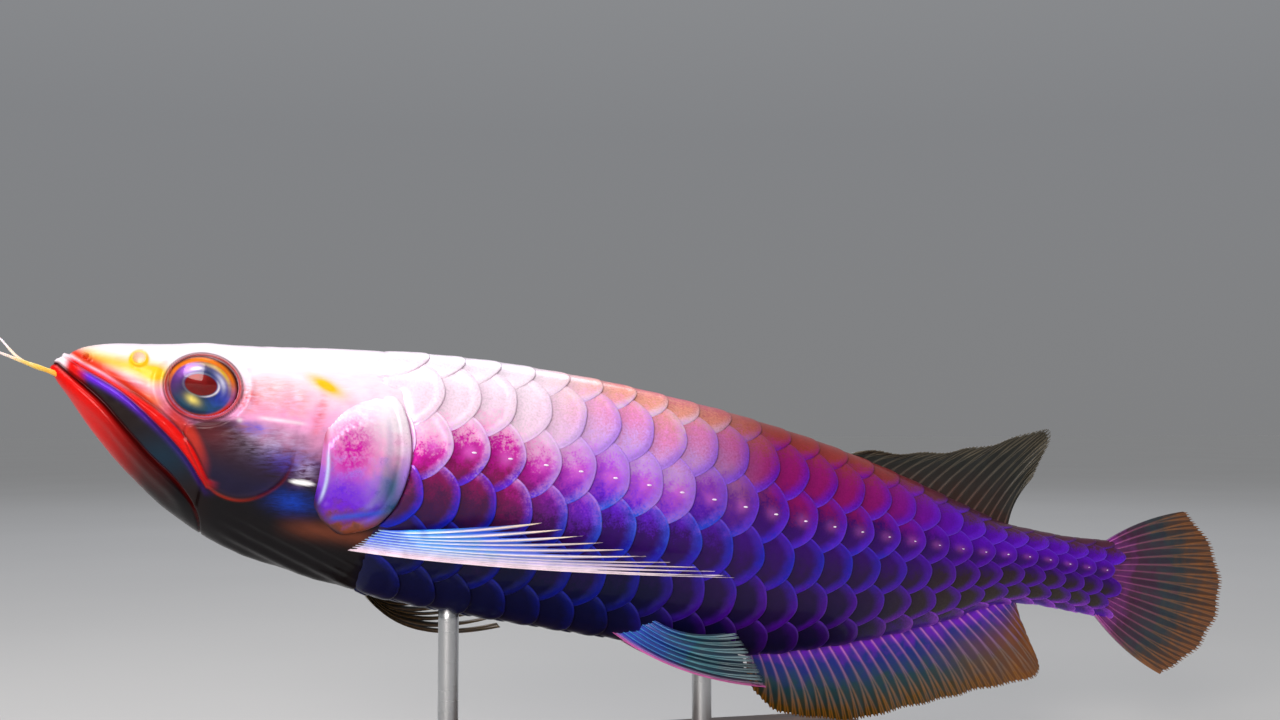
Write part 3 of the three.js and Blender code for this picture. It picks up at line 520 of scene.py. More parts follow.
def flank_colours(tree, height):
    """The colour of a scale's core and of its rim, from the back to the belly and from the
    shoulder to the tail. Besides the fish's own colours it holds painted light and shade: pale on
    the back as painted light from above, near black towards the belly as painted shade, and purple
    towards the tail partly as painted violet light."""
    cores = [
        [(0.0, PEARL), (0.3, MILK), (0.37, BLUSH), (0.42, MAGENTA), (0.5, CRIMSON), (0.58, WINE),
         (0.68, AUBERGINE), (0.8, NIGHT)],
        [(0.0, CORAL), (0.12, PEACH), (0.24, ROSE), (0.34, LILAC), (0.41, ORCHID), (0.5, VIOLET),
         (0.58, INDIGO), (0.78, NIGHT)],
        [(0.0, BRICK), (0.14, BRICK), (0.23, BERRY), (0.32, BERRY), (0.41, INDIGO), (0.52, INDIGO),
         (0.64, AUBERGINE), (0.95, NIGHT)],
        [(0.0, DUSK), (0.12, DUSK), (0.22, PURPLE), (0.34, PURPLE), (0.42, INDIGO), (0.5, INDIGO),
         (0.6, UMBER), (0.84, OLIVE), (1.0, PURPLE)],
    ]
    rims = [
        [(0.0, PEARL), (0.3, MILK), (0.42, LILAC), (0.52, VIOLET), (0.62, COBALT), (0.9, NIGHT)],
        [(0.0, PEACH), (0.14, MILK), (0.26, LAVENDER), (0.46, LAVENDER), (0.54, AZURE), (0.64, COBALT),
         (0.95, NIGHT)],
        [(0.0, BRICK), (0.14, BERRY), (0.26, PURPLE), (0.42, VIOLET), (0.56, COBALT), (0.74, PURPLE),
         (0.95, INDIGO)],
        [(0.0, DUSK), (0.2, VIOLET), (0.44, PURPLE), (0.58, PURPLE), (0.8, PURPLE), (1.0, ORCHID)],
    ]
    shares = [add(tree, "MapRange", {"Value": "along", "From Min": low, "From Max": high},
                  interpolation_type="SMOOTHSTEP")
              for low, high in ((0.36, 0.46), (0.47, 0.61), (0.68, 0.82))]
    colours = []
    for zones in (cores, rims):
        first, *others = [add(tree, "ValToRGB", {"Fac": height}, stops) for stops in zones]
        colours.append(layered(tree, first, zip(shares, others)))
    return colours


def wet_pearl_scale():
    """Scale bone under clear, wet skin, with guanine in its rim: a pearly glow and a sharp wet
    highlight."""
    material, tree, here = material_of(
        "wet_pearl_scale", Metallic=0.25, IOR=1.4, Specular_IOR_Level=0.18, Coat_Weight=0.3,
        Coat_Roughness=0.08, Coat_IOR=1.36)
    # Blotches of pigment about 2.5 mm across shift the edges of every zone.
    blotches = add(tree, "TexNoise", {"Vector": here, "Scale": 1 / (2.5 * MM), "Detail": 3.0})
    # Pigment cells, drawn at 0.6 mm, coarser than the real ones so that they show.
    cells = add(tree, "TexNoise", {"Vector": here, "Scale": 1 / (0.6 * MM)})
    toned = add(tree, "Math", {0: "tone", 1: 0.035, 2: "height"}, operation="MULTIPLY_ADD")
    core, rim = flank_colours(tree, varied(tree, varied(tree, toned, blotches, 0.12), cells, 0.14))
    # The rim fades into the core over about 3 mm and is strongest behind; on the lower side of each scale
    # it is made stronger as painted light.
    wavy = add(tree, "Math", {0: blotches, 1: 1.8, 2: "edge"}, operation="MULTIPLY_ADD")
    reach = add(tree, "MapRange", {"Value": "along", "From Min": 0.36, "From Max": 0.5, "To Min": 4.2,
                                   "To Max": 5.6})
    near_rim = add(tree, "MapRange", {"Value": wavy, "From Min": reach, "From Max": 1.2},
                   interpolation_type="SMOOTHSTEP")
    # Painted light: the rim is laid on more strongly on the side of each scale towards the belly.
    weight = add(tree, "MapRange", {"Value": "low", "From Min": -0.7, "From Max": 0.4, "To Min": 0.4,
                                    "To Max": 0.95})
    rim_share_and_painted_light = add(tree, "Math", {0: near_rim, 1: weight}, operation="MULTIPLY")
    margin = add(tree, "MapRange", {"Value": "edge", "From Min": 0.9, "From Max": 0.2, "To Max": 0.6},
                 interpolation_type="SMOOTHSTEP")
    # A painted pink highlight round each pore of the lateral line, fainter towards the tail.
    fading = add(tree, "MapRange", {"Value": "along", "From Min": 0.45, "From Max": 0.65,
                                    "To Min": 0.5, "To Max": 0.22})
    glow = add(tree, "Math", {0: "pore", 1: fading}, operation="MULTIPLY")
    lighter = add(tree, "HueSaturation", {"Color": rim, "Value": 1.4, "Saturation": 0.97})
    colour = layered(tree, core, [(rim_share_and_painted_light, rim), (margin, lighter), (glow, "f47ce8")])
    grain = add(tree, "MapRange", {"Value": cells, "From Min": 0.3, "From Max": 0.7, "To Min": 0.88,
                                   "To Max": 1.12})
    # Painted shade: where a scale runs in under the rim of the scale before it, it is darkened.
    painted_shade_under_rims = add(tree, "MapRange", {"Value": "deep", "From Min": 0.65, "From Max": 1.1, "To Min": 1.0,
                                    "To Max": 0.7})
    value = add(tree, "Math", {0: grain, 1: painted_shade_under_rims}, operation="MULTIPLY")
    graded = add(tree, "HueSaturation", {"Color": colour, "Value": value})
    return surfaced(material, graded, rough=(cells, 0.26, 0.44), relief=(cells, 0.25, 0.06))


def pore_tissue():
    """The thin, clear tissue round a pore: a small pearly point of light."""
    material, tree, here = material_of("pore_tissue", Roughness=0.25, IOR=1.38, Coat_Weight=0.6,
                                       Coat_Roughness=0.05)
    cloud = add(tree, "TexNoise", {"Vector": here, "Scale": 1 / (0.8 * MM)})
    return surfaced(material, add(tree, "ValToRGB", {"Fac": cloud}, [(0.3, "e8c8ff"), (0.7, WHITE)]))


def wet_head_skin():
    """Bare skin over bone, wet: smooth and glossy, paler on the crown partly as painted light, with
    translucent plates on the cheek, and near black under the throat and jaw as painted shade."""
    material, tree, here = material_of(
        "wet_head_skin", Metallic=0.05, IOR=1.36, Specular_IOR_Level=0.2, Coat_Weight=0.28,
        Coat_Roughness=0.08, Coat_IOR=1.36)
    blotches = add(tree, "TexNoise", {"Vector": here, "Scale": 1 / (4 * MM), "Detail": 4.0})
    # Streaks run back from the eye along the bones, about 0.8 mm apart.
    stretched = add(tree, "Mapping", {"Vector": here, "Scale": (0.22, 1, 1)})
    streaks = add(tree, "TexNoise", {"Vector": stretched, "Scale": 1 / (0.8 * MM), "Detail": 5.0,
                                     "Roughness": 0.6, "Distortion": 0.4})
    shifted = varied(tree, "height", blotches, 0.12)
    # Pale on the crown, partly as painted light, and near black under the throat as painted shade.
    head = add(tree, "ValToRGB", {"Fac": shifted}, [
        (0.0, "f4e6f2"), (0.27, "f6e4f2"), (0.4, BLUSH), (0.54, WINE), (0.64, SHADE_BLACK), (0.8, SHADE_BLACK)])
    trunk, _ = flank_colours(tree, shifted)
    on_trunk = add(tree, "MapRange", {"Value": "along", "From Min": 0.26, "From Max": 0.31})
    streaky = add(tree, "MapRange", {"Value": streaks, "From Min": 0.32, "From Max": 0.72})
    softer = add(tree, "MapRange", {"Value": streaks, "From Min": 0.3, "From Max": 0.65, "To Min": 0.35})
    streaked = [
        (add(tree, "Math", {0: name, 1: pattern}, operation="MULTIPLY"), pigment)
        for name, pattern, pigment in (
            ("blush_streak", streaky, SALMON), ("ember_streak", streaky, EMBER),
            ("silver", streaky, "ccbcdc"), ("blue_streak", streaky, COBALT), ("blue", softer, "0a40c0"))]
    colour = layered(tree, head, [
        (on_trunk, trunk), ("cheek", "2c1a2a"), ("cheek_low", "161434"), ("cheek_front", "5c1418"),
        *streaked, ("rust", RUST), ("gold", GOLD), ("pale", PEARL), ("amber", AMBER), ("ember", EMBER),
        ("painted_shade_under_jaw", SHADE_BLACK), ("jaw", "560504"), ("blade", "1a0c0c"), ("blade_teal", "0c2c40"),
        ("blade_violet_highlight", VIOLET), ("lip", SCARLET), ("orbit", "b00c04"), ("painted_crease_shade", OXBLOOD),
        ("glint", WHITE)])
    return surfaced(material, colour, (streaks, 0.82, 1.15), (streaks, 0.22, 0.42), (streaks, 0.3, 0.15))


def gill_plate_bone():
    """The gill cover, thin bone under wet skin: nearly white above, partly as painted light, magenta
    where it is thin, a clear lilac and teal edge, and a painted highlight along the ridge of the cheek
    bone."""
    material, tree, here = material_of(
        "gill_plate_bone", Metallic=0.15, IOR=1.4, Specular_IOR_Level=0.2, Coat_Weight=0.35,
        Coat_Roughness=0.07, Coat_IOR=1.36)
    # Clouds of pigment about 3 mm across, and its cells, drawn coarser than real at 0.7 mm.
    blotches = add(tree, "TexNoise", {"Vector": here, "Scale": 1 / (3 * MM), "Detail": 5.0})
    cells = add(tree, "TexNoise", {"Vector": here, "Scale": 1 / (0.7 * MM), "Detail": 3.0})
    # Nearly white towards the top, partly as painted light.
    plate = add(tree, "ValToRGB", {"Fac": varied(tree, "height_on_plate", blotches, 0.3)}, [
        (0.0, UMBER), (0.12, RUST), (0.24, VIOLET), (0.42, LAVENDER), (0.56, BLUSH), (0.74, PEARL)])
    clouded = add(tree, "Math", {0: blotches, 1: 1.6, 2: cells}, operation="MULTIPLY_ADD")
    speckled = add(tree, "MapRange", {"Value": clouded, "From Min": 0.95, "From Max": 1.5,
                                      "To Min": 0.25, "To Max": 1.15})
    edge_share = add(tree, "MapRange", {"Value": "from_edge", "From Min": 3.4, "From Max": 0.4,
                                        "To Max": 0.8}, interpolation_type="SMOOTHSTEP")
    edge = add(tree, "ValToRGB", {"Fac": "height_on_plate"}, [
        (0.0, RUST), (0.14, RUST), (0.28, TEAL), (0.5, LAVENDER), (0.68, MILK), (0.8, PEARL)])
    core, purple = [add(tree, "Math", {0: name, 1: speckled}, operation="MULTIPLY", use_clamp=True)
                    for name in ("core", "purple")]
    # The pale blue-white of the ridge is a painted highlight along it.
    colour = layered(tree, plate, [
        (core, MAGENTA), (purple, VIOLET), ("band", "9a9cc0"), ("teal", TEAL), ("blue", "1c50c8"),
        (edge_share, edge), ("front", VIOLET), ("front_low", UMBER), ("ridge", "c6d2fa"),
        ("red_ridge", "b02a48")])
    return surfaced(material, colour, (cells, 0.85, 1.15), (blotches, 0.2, 0.4), (cells, 0.25, 0.08))


def wet_eye():
    """Cornea over a metallic iris: a mirror-sharp highlight over gold, blue and a deep red pupil."""
    material, tree, here = material_of(
        "wet_eye", Metallic=0.3, Roughness=0.28, IOR=1.38, Specular_IOR_Level=0.15, Coat_Weight=0.8,
        Coat_Roughness=0.02, Coat_IOR=1.38)
    marbling = add(tree, "TexNoise", {"Vector": here, "Scale": 1 / (2.5 * MM), "Detail": 4.0,
                                      "Distortion": 0.8})
    level = add(tree, "MapRange", {"Value": varied(tree, "rear", marbling, 0.8), "From Min": -0.9,
                                   "From Max": 0.9})
    iris = add(tree, "ValToRGB", {"Fac": level}, [
        (0.0, "4a2468"), (0.3, "1e2a50"), (0.6, "10264e"), (0.8, "1a2ca0"), (1.0, "2838c0")])
    dark_edge = add(tree, "MapRange", {"Value": "radius", "From Min": 0.95, "From Max": 1.02})
    colour = layered(tree, iris, [
        ("iris_low", TEAL), ("iris_purple", "8a4ab0"), ("iris_white", "e8e6fa"),
        ("iris_wedge", "f4e070"), ("iris_gold", GOLD), ("iris_ring", AMBER), ("iris_ring_low", EMBER),
        ("pupil_ring", "f4ecf4"), ("pupil", "700202"), (dark_edge, OXBLOOD)])
    return surfaced(material, colour, grain=(marbling, 0.7, 1.3), relief=(marbling, 0.3, 0.2))


def fin_membrane(name, web, ray, clearness=0.25, lead=None, rear=None):
    """A fin's thin, wet membrane between bony rays: half clear, with paler, firmer rays. The
    pigments of web and rays are given from the root out."""
    material, tree, here = material_of(
        name, IOR=1.38, Coat_Weight=0.45, Coat_Roughness=0.12, Coat_IOR=1.36,
        Transmission_Weight=clearness)
    # Pigment lies in clouds about 4 mm across.
    mottling = add(tree, "TexNoise", {"Vector": here, "Scale": 1 / (4 * MM), "Detail": 4.0})
    shifted = varied(tree, "out", mottling, 0.5)
    webs, bones = [add(tree, "ValToRGB", {"Fac": shifted}, list(zip((0.08, 0.3, 0.6, 0.9), pigments)))
                   for pigments in (web, ray)]
    layers = [("rear", rear), ("ray", bones), ("lead", lead)]
    colour = layered(tree, webs, [layer for layer in layers if layer[1] is not None])
    # The joints of the rays, about 1.1 mm apart.
    jointed = add(tree, "Math", {0: "joint", 1: mottling}, operation="ADD")
    return surfaced(material, colour, (mottling, 0.7, 1.3), ("ray", 0.42, 0.3), (jointed, 0.35, 0.1))


def barbel_skin():
    """Soft skin over gristle: golden from the root outward and nearly white at the tip."""
    material, tree, here = material_of(
        "barbel_skin", Roughness=0.35, IOR=1.4, Coat_Weight=0.3, Coat_Roughness=0.1, Coat_IOR=1.36,
        Subsurface_Weight=0.15, Subsurface_Scale=0.8 * MM)
    mottling = add(tree, "TexNoise", {"Vector": here, "Scale": 1 / (1.5 * MM), "Detail": 3.0})
    colour = add(tree, "ValToRGB", {"Fac": varied(tree, "out", mottling, 0.3)}, [
        (0.0, "e2661a"), (0.2, "f0a51e"), (0.55, "f6cf5c"), (0.95, PEARL)])
    return surfaced(material, colour, relief=(mottling, 0.3, 0.1))


def oiled_walnut():
    """Walnut, planed and oiled: long dark grain with open pores and a low, uneven sheen."""
    material, tree, here = material_of("oiled_walnut", IOR=1.5, Coat_Weight=0.15, Coat_Roughness=0.3)
    lying = add(tree, "Mapping", {"Vector": here, "Scale": (0.09, 1, 1)})
    # Growth rings about 6 mm apart, and pores about 0.5 mm wide.
    rings = add(tree, "TexNoise", {"Vector": lying, "Scale": 1 / (6 * MM), "Detail": 5.0,
                                   "Distortion": 0.5})
    pores = add(tree, "TexNoise", {"Vector": lying, "Scale": 1 / (0.5 * MM)})
    grain = add(tree, "ValToRGB", {"Fac": rings}, [(0.3, "2b180e"), (0.5, "5a3822"), (0.7, "7a5236")])
    pitted = add(tree, "MapRange", {"Value": pores, "From Min": 0.38, "From Max": 0.5, "To Min": 0.55,
                                    "To Max": 1.0})
    colour = add(tree, "HueSaturation", {"Color": grain, "Value": pitted})
    return surfaced(material, colour, rough=(pores, 0.55, 0.38), relief=(pores, 0.3, 0.1))


def brushed_steel():
    """Stainless steel, turned and brushed round: soft streaks along the light."""
    material, tree, here = material_of("brushed_steel", Metallic=1.0)
    turned = add(tree, "Mapping", {"Vector": here, "Scale": (0.02, 0.02, 1)})
    # Brush lines, drawn at 0.3 mm, coarser than the real ones so that they show.
    lines = add(tree, "TexNoise", {"Vector": turned, "Scale": 1 / (0.3 * MM)})
    return surfaced(material, "c4c6c8", rough=(lines, 0.22, 0.4), relief=(lines, 0.15, 0.02))


def matte_floor():
    """Plaster, rolled matt white: no highlight and a faint uneven tone."""
    material, tree, here = material_of("matte_plaster_floor", Roughness=0.85, IOR=1.45)
    clouds = add(tree, "TexNoise", {"Vector": here, "Scale": 1 / (300 * MM), "Detail": 3.0})
    return surfaced(material, add(tree, "ValToRGB", {"Fac": clouds}, [(0.0, "c6c5c3"), (1.0, "cecdcb")]))


def head_masks(s, z, on_head):
    """Where the head's pigments lie, from the lines of its bones and lips."""
    above = gape_side(s, z)
    band, band_width = blade_side(s, z)
    over_lip = band - band_width
    ring = eye_ring(s, z)
    plate = inside(rounded(CHEEK), s, z)
    rear = inside(rounded(BEHIND_EYE), s, z)
    front, snout = fade(s, 42, 50), fade(s, 26, 34) * smooth(band, 0.6, 2)
    under_eye = smooth(s, 28, 34) * fade(s, 40, 47) * smooth(over_lip, 0, 0.6)
    lip_tip = fade(s, 5, 10) * smooth(s, 1.5, 4) * smooth(above, -0.6, 0) * smooth(band, 0.5, 0)
    upper_lip = smooth(s, 1, 5) * smooth(band, -0.2, 0.3) * fade(over_lip, -0.3, 0.4)
    lower_lip = smooth(above, 0.2, -0.4) * fade(s + 0.7 * (above + 4), 8, 30)
    on_blade, on_jaw = above > 0.3, smooth(-above, -0.1, 0.8)
    masks = {
        "cheek": smooth(plate, -0.4, 1.2) * (1 - 0.85 * smooth(z + 5 + 0.75 * (s - 50), -4, 4)),
        "cheek_low": smooth(plate, -0.2, 2) * smooth(-z - 0.1 * (s - 50), 14, 22) * 0.8,
        "cheek_front": smooth(plate, -0.2, 1) * spot(s, z, 44, -9.5, 4.5, 1.6) * 0.8,
        "silver": 0.75 * spot(s, z, 61, -9, 4, 2.2) + spot(s, z, 71, -15, 3, 0.9),
        "blue_streak": 0.9 * spot(s, z, 55, -6.4, 1.6, 2.4) + 0.6 * spot(s, z, 66, -13, 3.4, 2),
        "blush_streak": 0.7 * smooth(rear, -1, 5),
        "ember_streak": spot(s, z, 51.5, 1, 3.8, 0.8) + 0.9 * bump(s - 71.6, 1.6) * bump(z - 1, 6),
        "blue": 0.85 * spot(s, z, 69.5, -24.3, 3, 1.9),
        "rust": 0.6 * bump(z + 31 - 0.03 * (s - 74), 2.4) * smooth(s, 64, 78),
        "gold": snout * (0.9 * bump(z - 4.2 + 0.03 * s, 2.6) * smooth(s, 2, 8)
                         + 0.5 * spot(s, z, 27, 2, 3.6, 1.3))
        + 1.3 * bump(np.hypot((s - 71.6) / 2.7, z - 9 + 0.3 * (s - 71.6)), 1.7)
        + 0.8 * bump(np.hypot(s - 21.2, z - 6.2) - 2.1, 0.6),
        "pale": snout * 0.8 * bump(z - 1.2 + 0.03 * s, 0.7) * smooth(s, 4, 8) * fade(s, 17, 22)
        + 0.9 * fade(s, 2, 5) * smooth(above, -0.3, 0.6)
        + 0.7 * bump(z + 3 - 0.06 * (s - 60), 0.5) * smooth(s, 54, 58) * fade(s, 66, 70),
        "amber": snout * 0.85 * bump(z + 0.6 + 0.14 * s, 2.2),
        "ember": snout * bump(band - 2.2, 1.5) + 0.8 * under_eye * fade(over_lip, 2, 5)
        + 0.6 * bump(plate + 0.3, 0.35) * smooth(-z, 14, 19) * (1 - 0.7 * smooth(s, 52, 64)),
        "blade": front * smooth(s, 3, 8) * smooth(above, 0.1, 0.7) * smooth(band, 0.2, -0.4),
        # A painted violet highlight along the top edge of the upper jaw's blade.
        "blade_violet_highlight": front * on_blade * bump(band + 0.9, 0.8) * smooth(s, 5, 10)
        * (1 - 0.85 * smooth(s, 14, 32)),
        "blade_teal": front * on_blade * 0.8 * spot(s, z, 33, -19, 4, 2.2, 1.5),
        "jaw": on_jaw * fade(-above, 3, 8) * fade(s, 22, 40),
        # Painted shade: the lower jaw behind its red front is near black.
        "painted_shade_under_jaw": on_jaw * fade(s, 46, 60),
        "lip": front * np.maximum(lip_tip, np.maximum(upper_lip, lower_lip)),
        "orbit": bump(ring - 1.05, 0.055),
        # Painted shade in the creases: along the mouth, over the lip, round the cheek plate and in the
        # groove round the eye.
        "painted_crease_shade": bump(above, 0.5) * fade(s, 44, 48)
        + 0.6 * front * bump(over_lip - 0.4, 0.35) * smooth(s, 14, 24)
        + 0.45 * bump(plate + 0.2, 0.3) * smooth(-z - 0.45 * (s - 50), 0, 8)
        + 0.8 * bump(ring - 1.12, 0.03),
        # Painted highlights in white: a streak low on the cheek and a small spot just behind the eye.
        "glint": fade(np.hypot((s - 70.7) / 4.4, z + 18.6 - 0.05 * (s - 70)), 0.5, 0.95)
        + 0.5 * spot(s, z, 50.8, -5, 0.6, 1.2),
    }
    return {name: np.clip(on_head * mask, 0, 1) for name, mask in masks.items()}


def make_skin(material):
    """One skin from the snout to the root of the tail, sunk a little under the scales."""
    head_count = int(HEAD_TO / HEAD_STEP)
    trunk_count = int((STANDARD_LENGTH - HEAD_TO) / TRUNK_STEP)
    stations = np.concatenate([np.linspace(0, HEAD_TO, head_count + 1),
                               np.linspace(HEAD_TO, STANDARD_LENGTH, trunk_count + 1)[1:]])
    share = np.arange(SKIN_ROUND) / SKIN_ROUND
    s, way = np.meshgrid(stations, share, indexing="ij")
    bare = bare_skin(s, way)
    z = bare[..., 2]
    sunk = SKIN_UNDER_SCALES * smooth(scale_strength(s, z), 0.1, 0.8) * smooth(s, 78, 96)
    rings = bare + skin_normal(s, way) * (head_relief(s, z) + sunk)[..., None]
    # The snout closes in two rounded steps.
    snout = [rings[0] * np.array([1, size, size]) + np.array([-before, 0, 0.25 * (1 - size)])
             for size, before in ((0.55, 0.9), (0.85, 0.5))]
    rings = np.concatenate([snout, rings])
    ends = [[-1.05, 0, 0.3], [STANDARD_LENGTH + 1, 0, TAIL_MIDDLE]]
    points = np.concatenate([rings.reshape(-1, 3), ends])
    all_s, all_z = points[:, 0], points[:, 2]
    masks = head_masks(np.maximum(all_s, 0), all_z, fade(all_s, 88, 98))
    ways = np.concatenate([np.tile(share, len(rings)), [0.25, 0.25]])
    masks["height"] = 2 * np.minimum(ways, 1 - ways)
    masks["along"] = all_s / STANDARD_LENGTH
    make_piece("fish_skin", points, tube_faces(len(rings), SKIN_ROUND), material, masks,
               replaced=("head", "lower_jaw", "trunk_front", "trunk_rear", "tail_stalk"))


def column_place(column):
    """How far from the snout a column of scales has its tips, closer together past the middle."""
    late = np.maximum(column - SCALE_SHORTENS_FROM, 0)
    return SCALE_START + SCALE_LENGTH * column - SCALE_SHORTENING / 2 * late ** 2


def row_share(row, s):
    """The share of the way round at a count of rows from the back, with the rows beside the fins
    narrower towards the tail."""
    row = row % SCALE_ROWS
    turned = row > SCALE_ROWS / 2
    even = np.where(turned, SCALE_ROWS - row, row) / (SCALE_ROWS / 2)
    late = 0.55 * smooth(s, 240, 320)
    half = (1 - late) * even + late * even * even * (3 - 2 * even)
    return np.where(turned, 1 - half / 2, half / 2)


def scale_tips():
    """The scales that show, as the column of each one's tip and its row. Those under the gill
    cover and at the root of the pectoral fin are left out."""
    tips = []
    for column in range(SCALE_COLUMNS):
        for row in range(SCALE_ROWS):
            tip = column + (0.5 if row % 2 else 0)
            s = float(column_place(tip))
            z = float(bare_skin(s, row_share(row + 0.5, s))[2])
            covered = float(inside(GILL_OUTLINE, np.array(s), np.array(z))) > 4
            at_fin = s < 101 and -38 < z < -24
            if 95 < s < STANDARD_LENGTH + 6 and not covered and not at_fin:
                tips.append((tip, row))
    return np.array(tips)


def scale_plates(tips, seeds):
    """Points, masks and chart of the scales, each a thin domed plate with a rounded rear margin,
    its front sunk in the skin under the scales before it."""
    across = np.linspace(-SCALE_HALF_SPAN, SCALE_HALF_SPAN, SCALE_ACROSS)[None, :, None]
    forward = (np.linspace(0, 1, SCALE_ALONG) ** 1.5)[None, None, :]
    tip, row = tips[:, 0, None, None], tips[:, 1, None, None]
    tone, tilt, wobble = seeds.T[:, :, None, None]
    arch = np.sqrt(1 - (across / SCALE_ROUND) ** 2)
    margin = SCALE_BOW * (1 - arch) + 0.015 * np.sin(9 * across + 6 * wobble)
    d = margin + (SCALE_BURIED - margin) * forward
    s = column_place(tip - d)
    share = row_share(row + 0.5 + across, s)
    pitch = column_place(tip) - column_place(tip - 1)
    slope = SCALE_BOW * across / (SCALE_ROUND ** 2 * arch) * 0.75
    edge = (d - margin) * pitch / np.sqrt(1 + slope ** 2)
    z = bare_skin(s, share)[..., 2]
    size = np.clip(pitch / SCALE_LENGTH, 0.55, 1)
    rise = SCALE_SEAT + (SCALE_RISE + 0.08 * tilt) * size * (1 - d / SCALE_BURIED)
    rise = rise + SCALE_DOME * size * (1 - (across / 0.67) ** 2) * (1 - 0.35 * d)
    rise = rise + 0.1 * bump(edge - 1.5, 0.9) - 0.07 * bump(edge - 3.2, 0.8)
    lip = np.clip(1 - edge / SCALE_LIP, 0, 1)
    rounding = SCALE_THICK * 0.7 * (1 - np.sqrt(1 - lip ** 2))
    height = 2 * np.minimum(share, 1 - share)
    # The scales lie flat along the back.
    on_back = fade(height, 0.06, 0.22)
    strength = scale_strength(s, z) * (1 - 0.55 * on_back)
    under_head = 1.1 * fade(strength, 0.06, 0.3)
    normal = skin_normal(s, share)
    bare = bare_skin(s, share)
    upper = (rise - rounding) * strength - under_head
    lower = (rise - SCALE_THICK * (1 - 0.25 * lip)) * strength - 0.03 - under_head
    points = np.stack([bare + normal * lift[..., None] for lift in (upper, lower)], axis=1)
    shape = upper.shape
    down = np.where(row < SCALE_ROWS / 2, across, -across)
    on_line = (row == PORE_ROW) | (row == SCALE_ROWS - 1 - PORE_ROW)
    masks = {
        "height": height,
        "along": s / STANDARD_LENGTH,
        "edge": edge + 2.5 * on_back,
        # How far a place lies in under the scale before, where the material paints shade.
        "deep": (d - 0.4 * across ** 2) * smooth(s, 88, 106),
        "tone": np.broadcast_to(tone, shape),
        # Which side of a scale faces the belly, where the material paints its rim lighter.
        "low": np.broadcast_to(down, shape),
        "pore": on_line * bump(np.hypot(across / 0.13, (d - PORE_BACK - 0.1) / 0.2), 1),
    }
    masks = {name: np.stack([mask, mask], axis=1) for name, mask in masks.items()}
    u = (tip + 1 - np.clip(d - margin, 0, 0.98)) / (SCALE_COLUMNS + 2)
    v = np.broadcast_to((row + 0.5 + across * 0.6) / SCALE_ROWS, shape)
    chart = np.stack([np.broadcast_to(u, shape), v], -1)
    return points, masks, np.stack([chart, chart], axis=1)


def make_scales(material):
    """The scales of both flanks, as a front and a rear piece on each."""
    tips = scale_tips()
    seeds = rng.uniform(-1, 1, (len(tips), 3))
    on_left = tips[:, 1] < SCALE_ROWS / 2
    in_front = tips[:, 0] < SCALE_COLUMNS / 2
    plate = slab_faces(SCALE_ACROSS, SCALE_ALONG)
    per_plate = 2 * SCALE_ACROSS * SCALE_ALONG
    for side, on_side in (("left", on_left), ("right", ~on_left)):
        for end, at_end in (("front", in_front), ("rear", ~in_front)):
            chosen = on_side & at_end
            points, masks, chart = scale_plates(tips[chosen], seeds[chosen])
            faces = (plate[None] + per_plate * np.arange(len(points))[:, None, None]).reshape(-1, 4)
            make_piece(f"scales_{side}_{end}", points, [faces], material, masks, chart)


def make_pores(material):
    """The openings of the lateral line: a short pale tube on the middle of each scale of its row."""
    rings, sides = 7, 10
    t = np.linspace(-0.97, 0.97, rings)
    angle = np.arange(sides) * 2 * math.pi / sides
    bulge = np.sqrt(1 - t ** 2)[:, None]
    local = np.stack([np.broadcast_to(t[:, None], (rings, sides)), bulge * np.cos(angle),
                      bulge * np.sin(angle)], -1).reshape(-1, 3)
    local = np.concatenate([local, [[-1, 0, 0], [1, 0, 0]]])
    for word, row in (("left", PORE_ROW), ("right", SCALE_ROWS - 1 - PORE_ROW)):
        tips = np.array([tip for tip, tip_row in scale_tips() if tip_row == row and tip > 3])
        points, faces = [], []
        for i, tip in enumerate(tips):
            s = column_place(tip - PORE_BACK)
            size = (column_place(tip) - column_place(tip - 1)) / SCALE_LENGTH
            share = row_share(row + 0.5, s)
            opening = size * (1 - 0.4 * smooth(s, 190, 260))
            rise = size * (SCALE_RISE * (1 - PORE_BACK / SCALE_BURIED) + SCALE_DOME * 0.85)
            normal = skin_normal(s, share)
            along = np.array([1, 0, 0.1]) * 0.75 * opening
            beside = np.cross(normal, [1, 0, 0]) * 0.3 * opening
            middle = bare_skin(s, share) + normal * (SCALE_SEAT + rise)
            points.append(middle + local @ np.stack([along, beside, normal * 0.2]))
            faces.append([part + i * len(local) for part in tube_faces(rings, sides)])
        make_piece(f"line_pores_{word}", np.concatenate(points),
                   [np.concatenate(part) for part in zip(*faces)], material)


def catmull_rom(points, t, closed=False):
    """Places on a centripetal Catmull-Rom curve through the points, at shares t of its way."""
    p = np.array(points, float)
    count = len(p)
    if closed:
        padded = np.concatenate([p[-1:], p, p[:2]])
        at = np.asarray(t, float) % 1 * count
        i = np.minimum(at.astype(int), count - 1)
    else:
        padded = np.concatenate([2 * p[:1] - p[1:2], p, 2 * p[-1:] - p[-2:-1]])
        at = np.clip(t, 0, 1) * (count - 1)
        i = np.minimum(at.astype(int), count - 2)
    w = (at - i)[..., None]
    p0, p1, p2, p3 = (padded[i + k] for k in range(4))
    d0, d1, d2 = (np.linalg.norm(b - a, axis=-1, keepdims=True) ** 0.5 + 1e-9
                  for a, b in ((p0, p1), (p1, p2), (p2, p3)))
    t1 = ((p1 - p0) / d0 - (p2 - p0) / (d0 + d1) + (p2 - p1) / d1) * d1
    t2 = ((p2 - p1) / d1 - (p3 - p1) / (d1 + d2) + (p3 - p2) / d2) * d1
    return (p1 + t1 * w + (-3 * p1 + 3 * p2 - 2 * t1 - t2) * w ** 2
            + (2 * p1 - 2 * p2 + t1 + t2) * w ** 3)


FIN_ROWS = 56


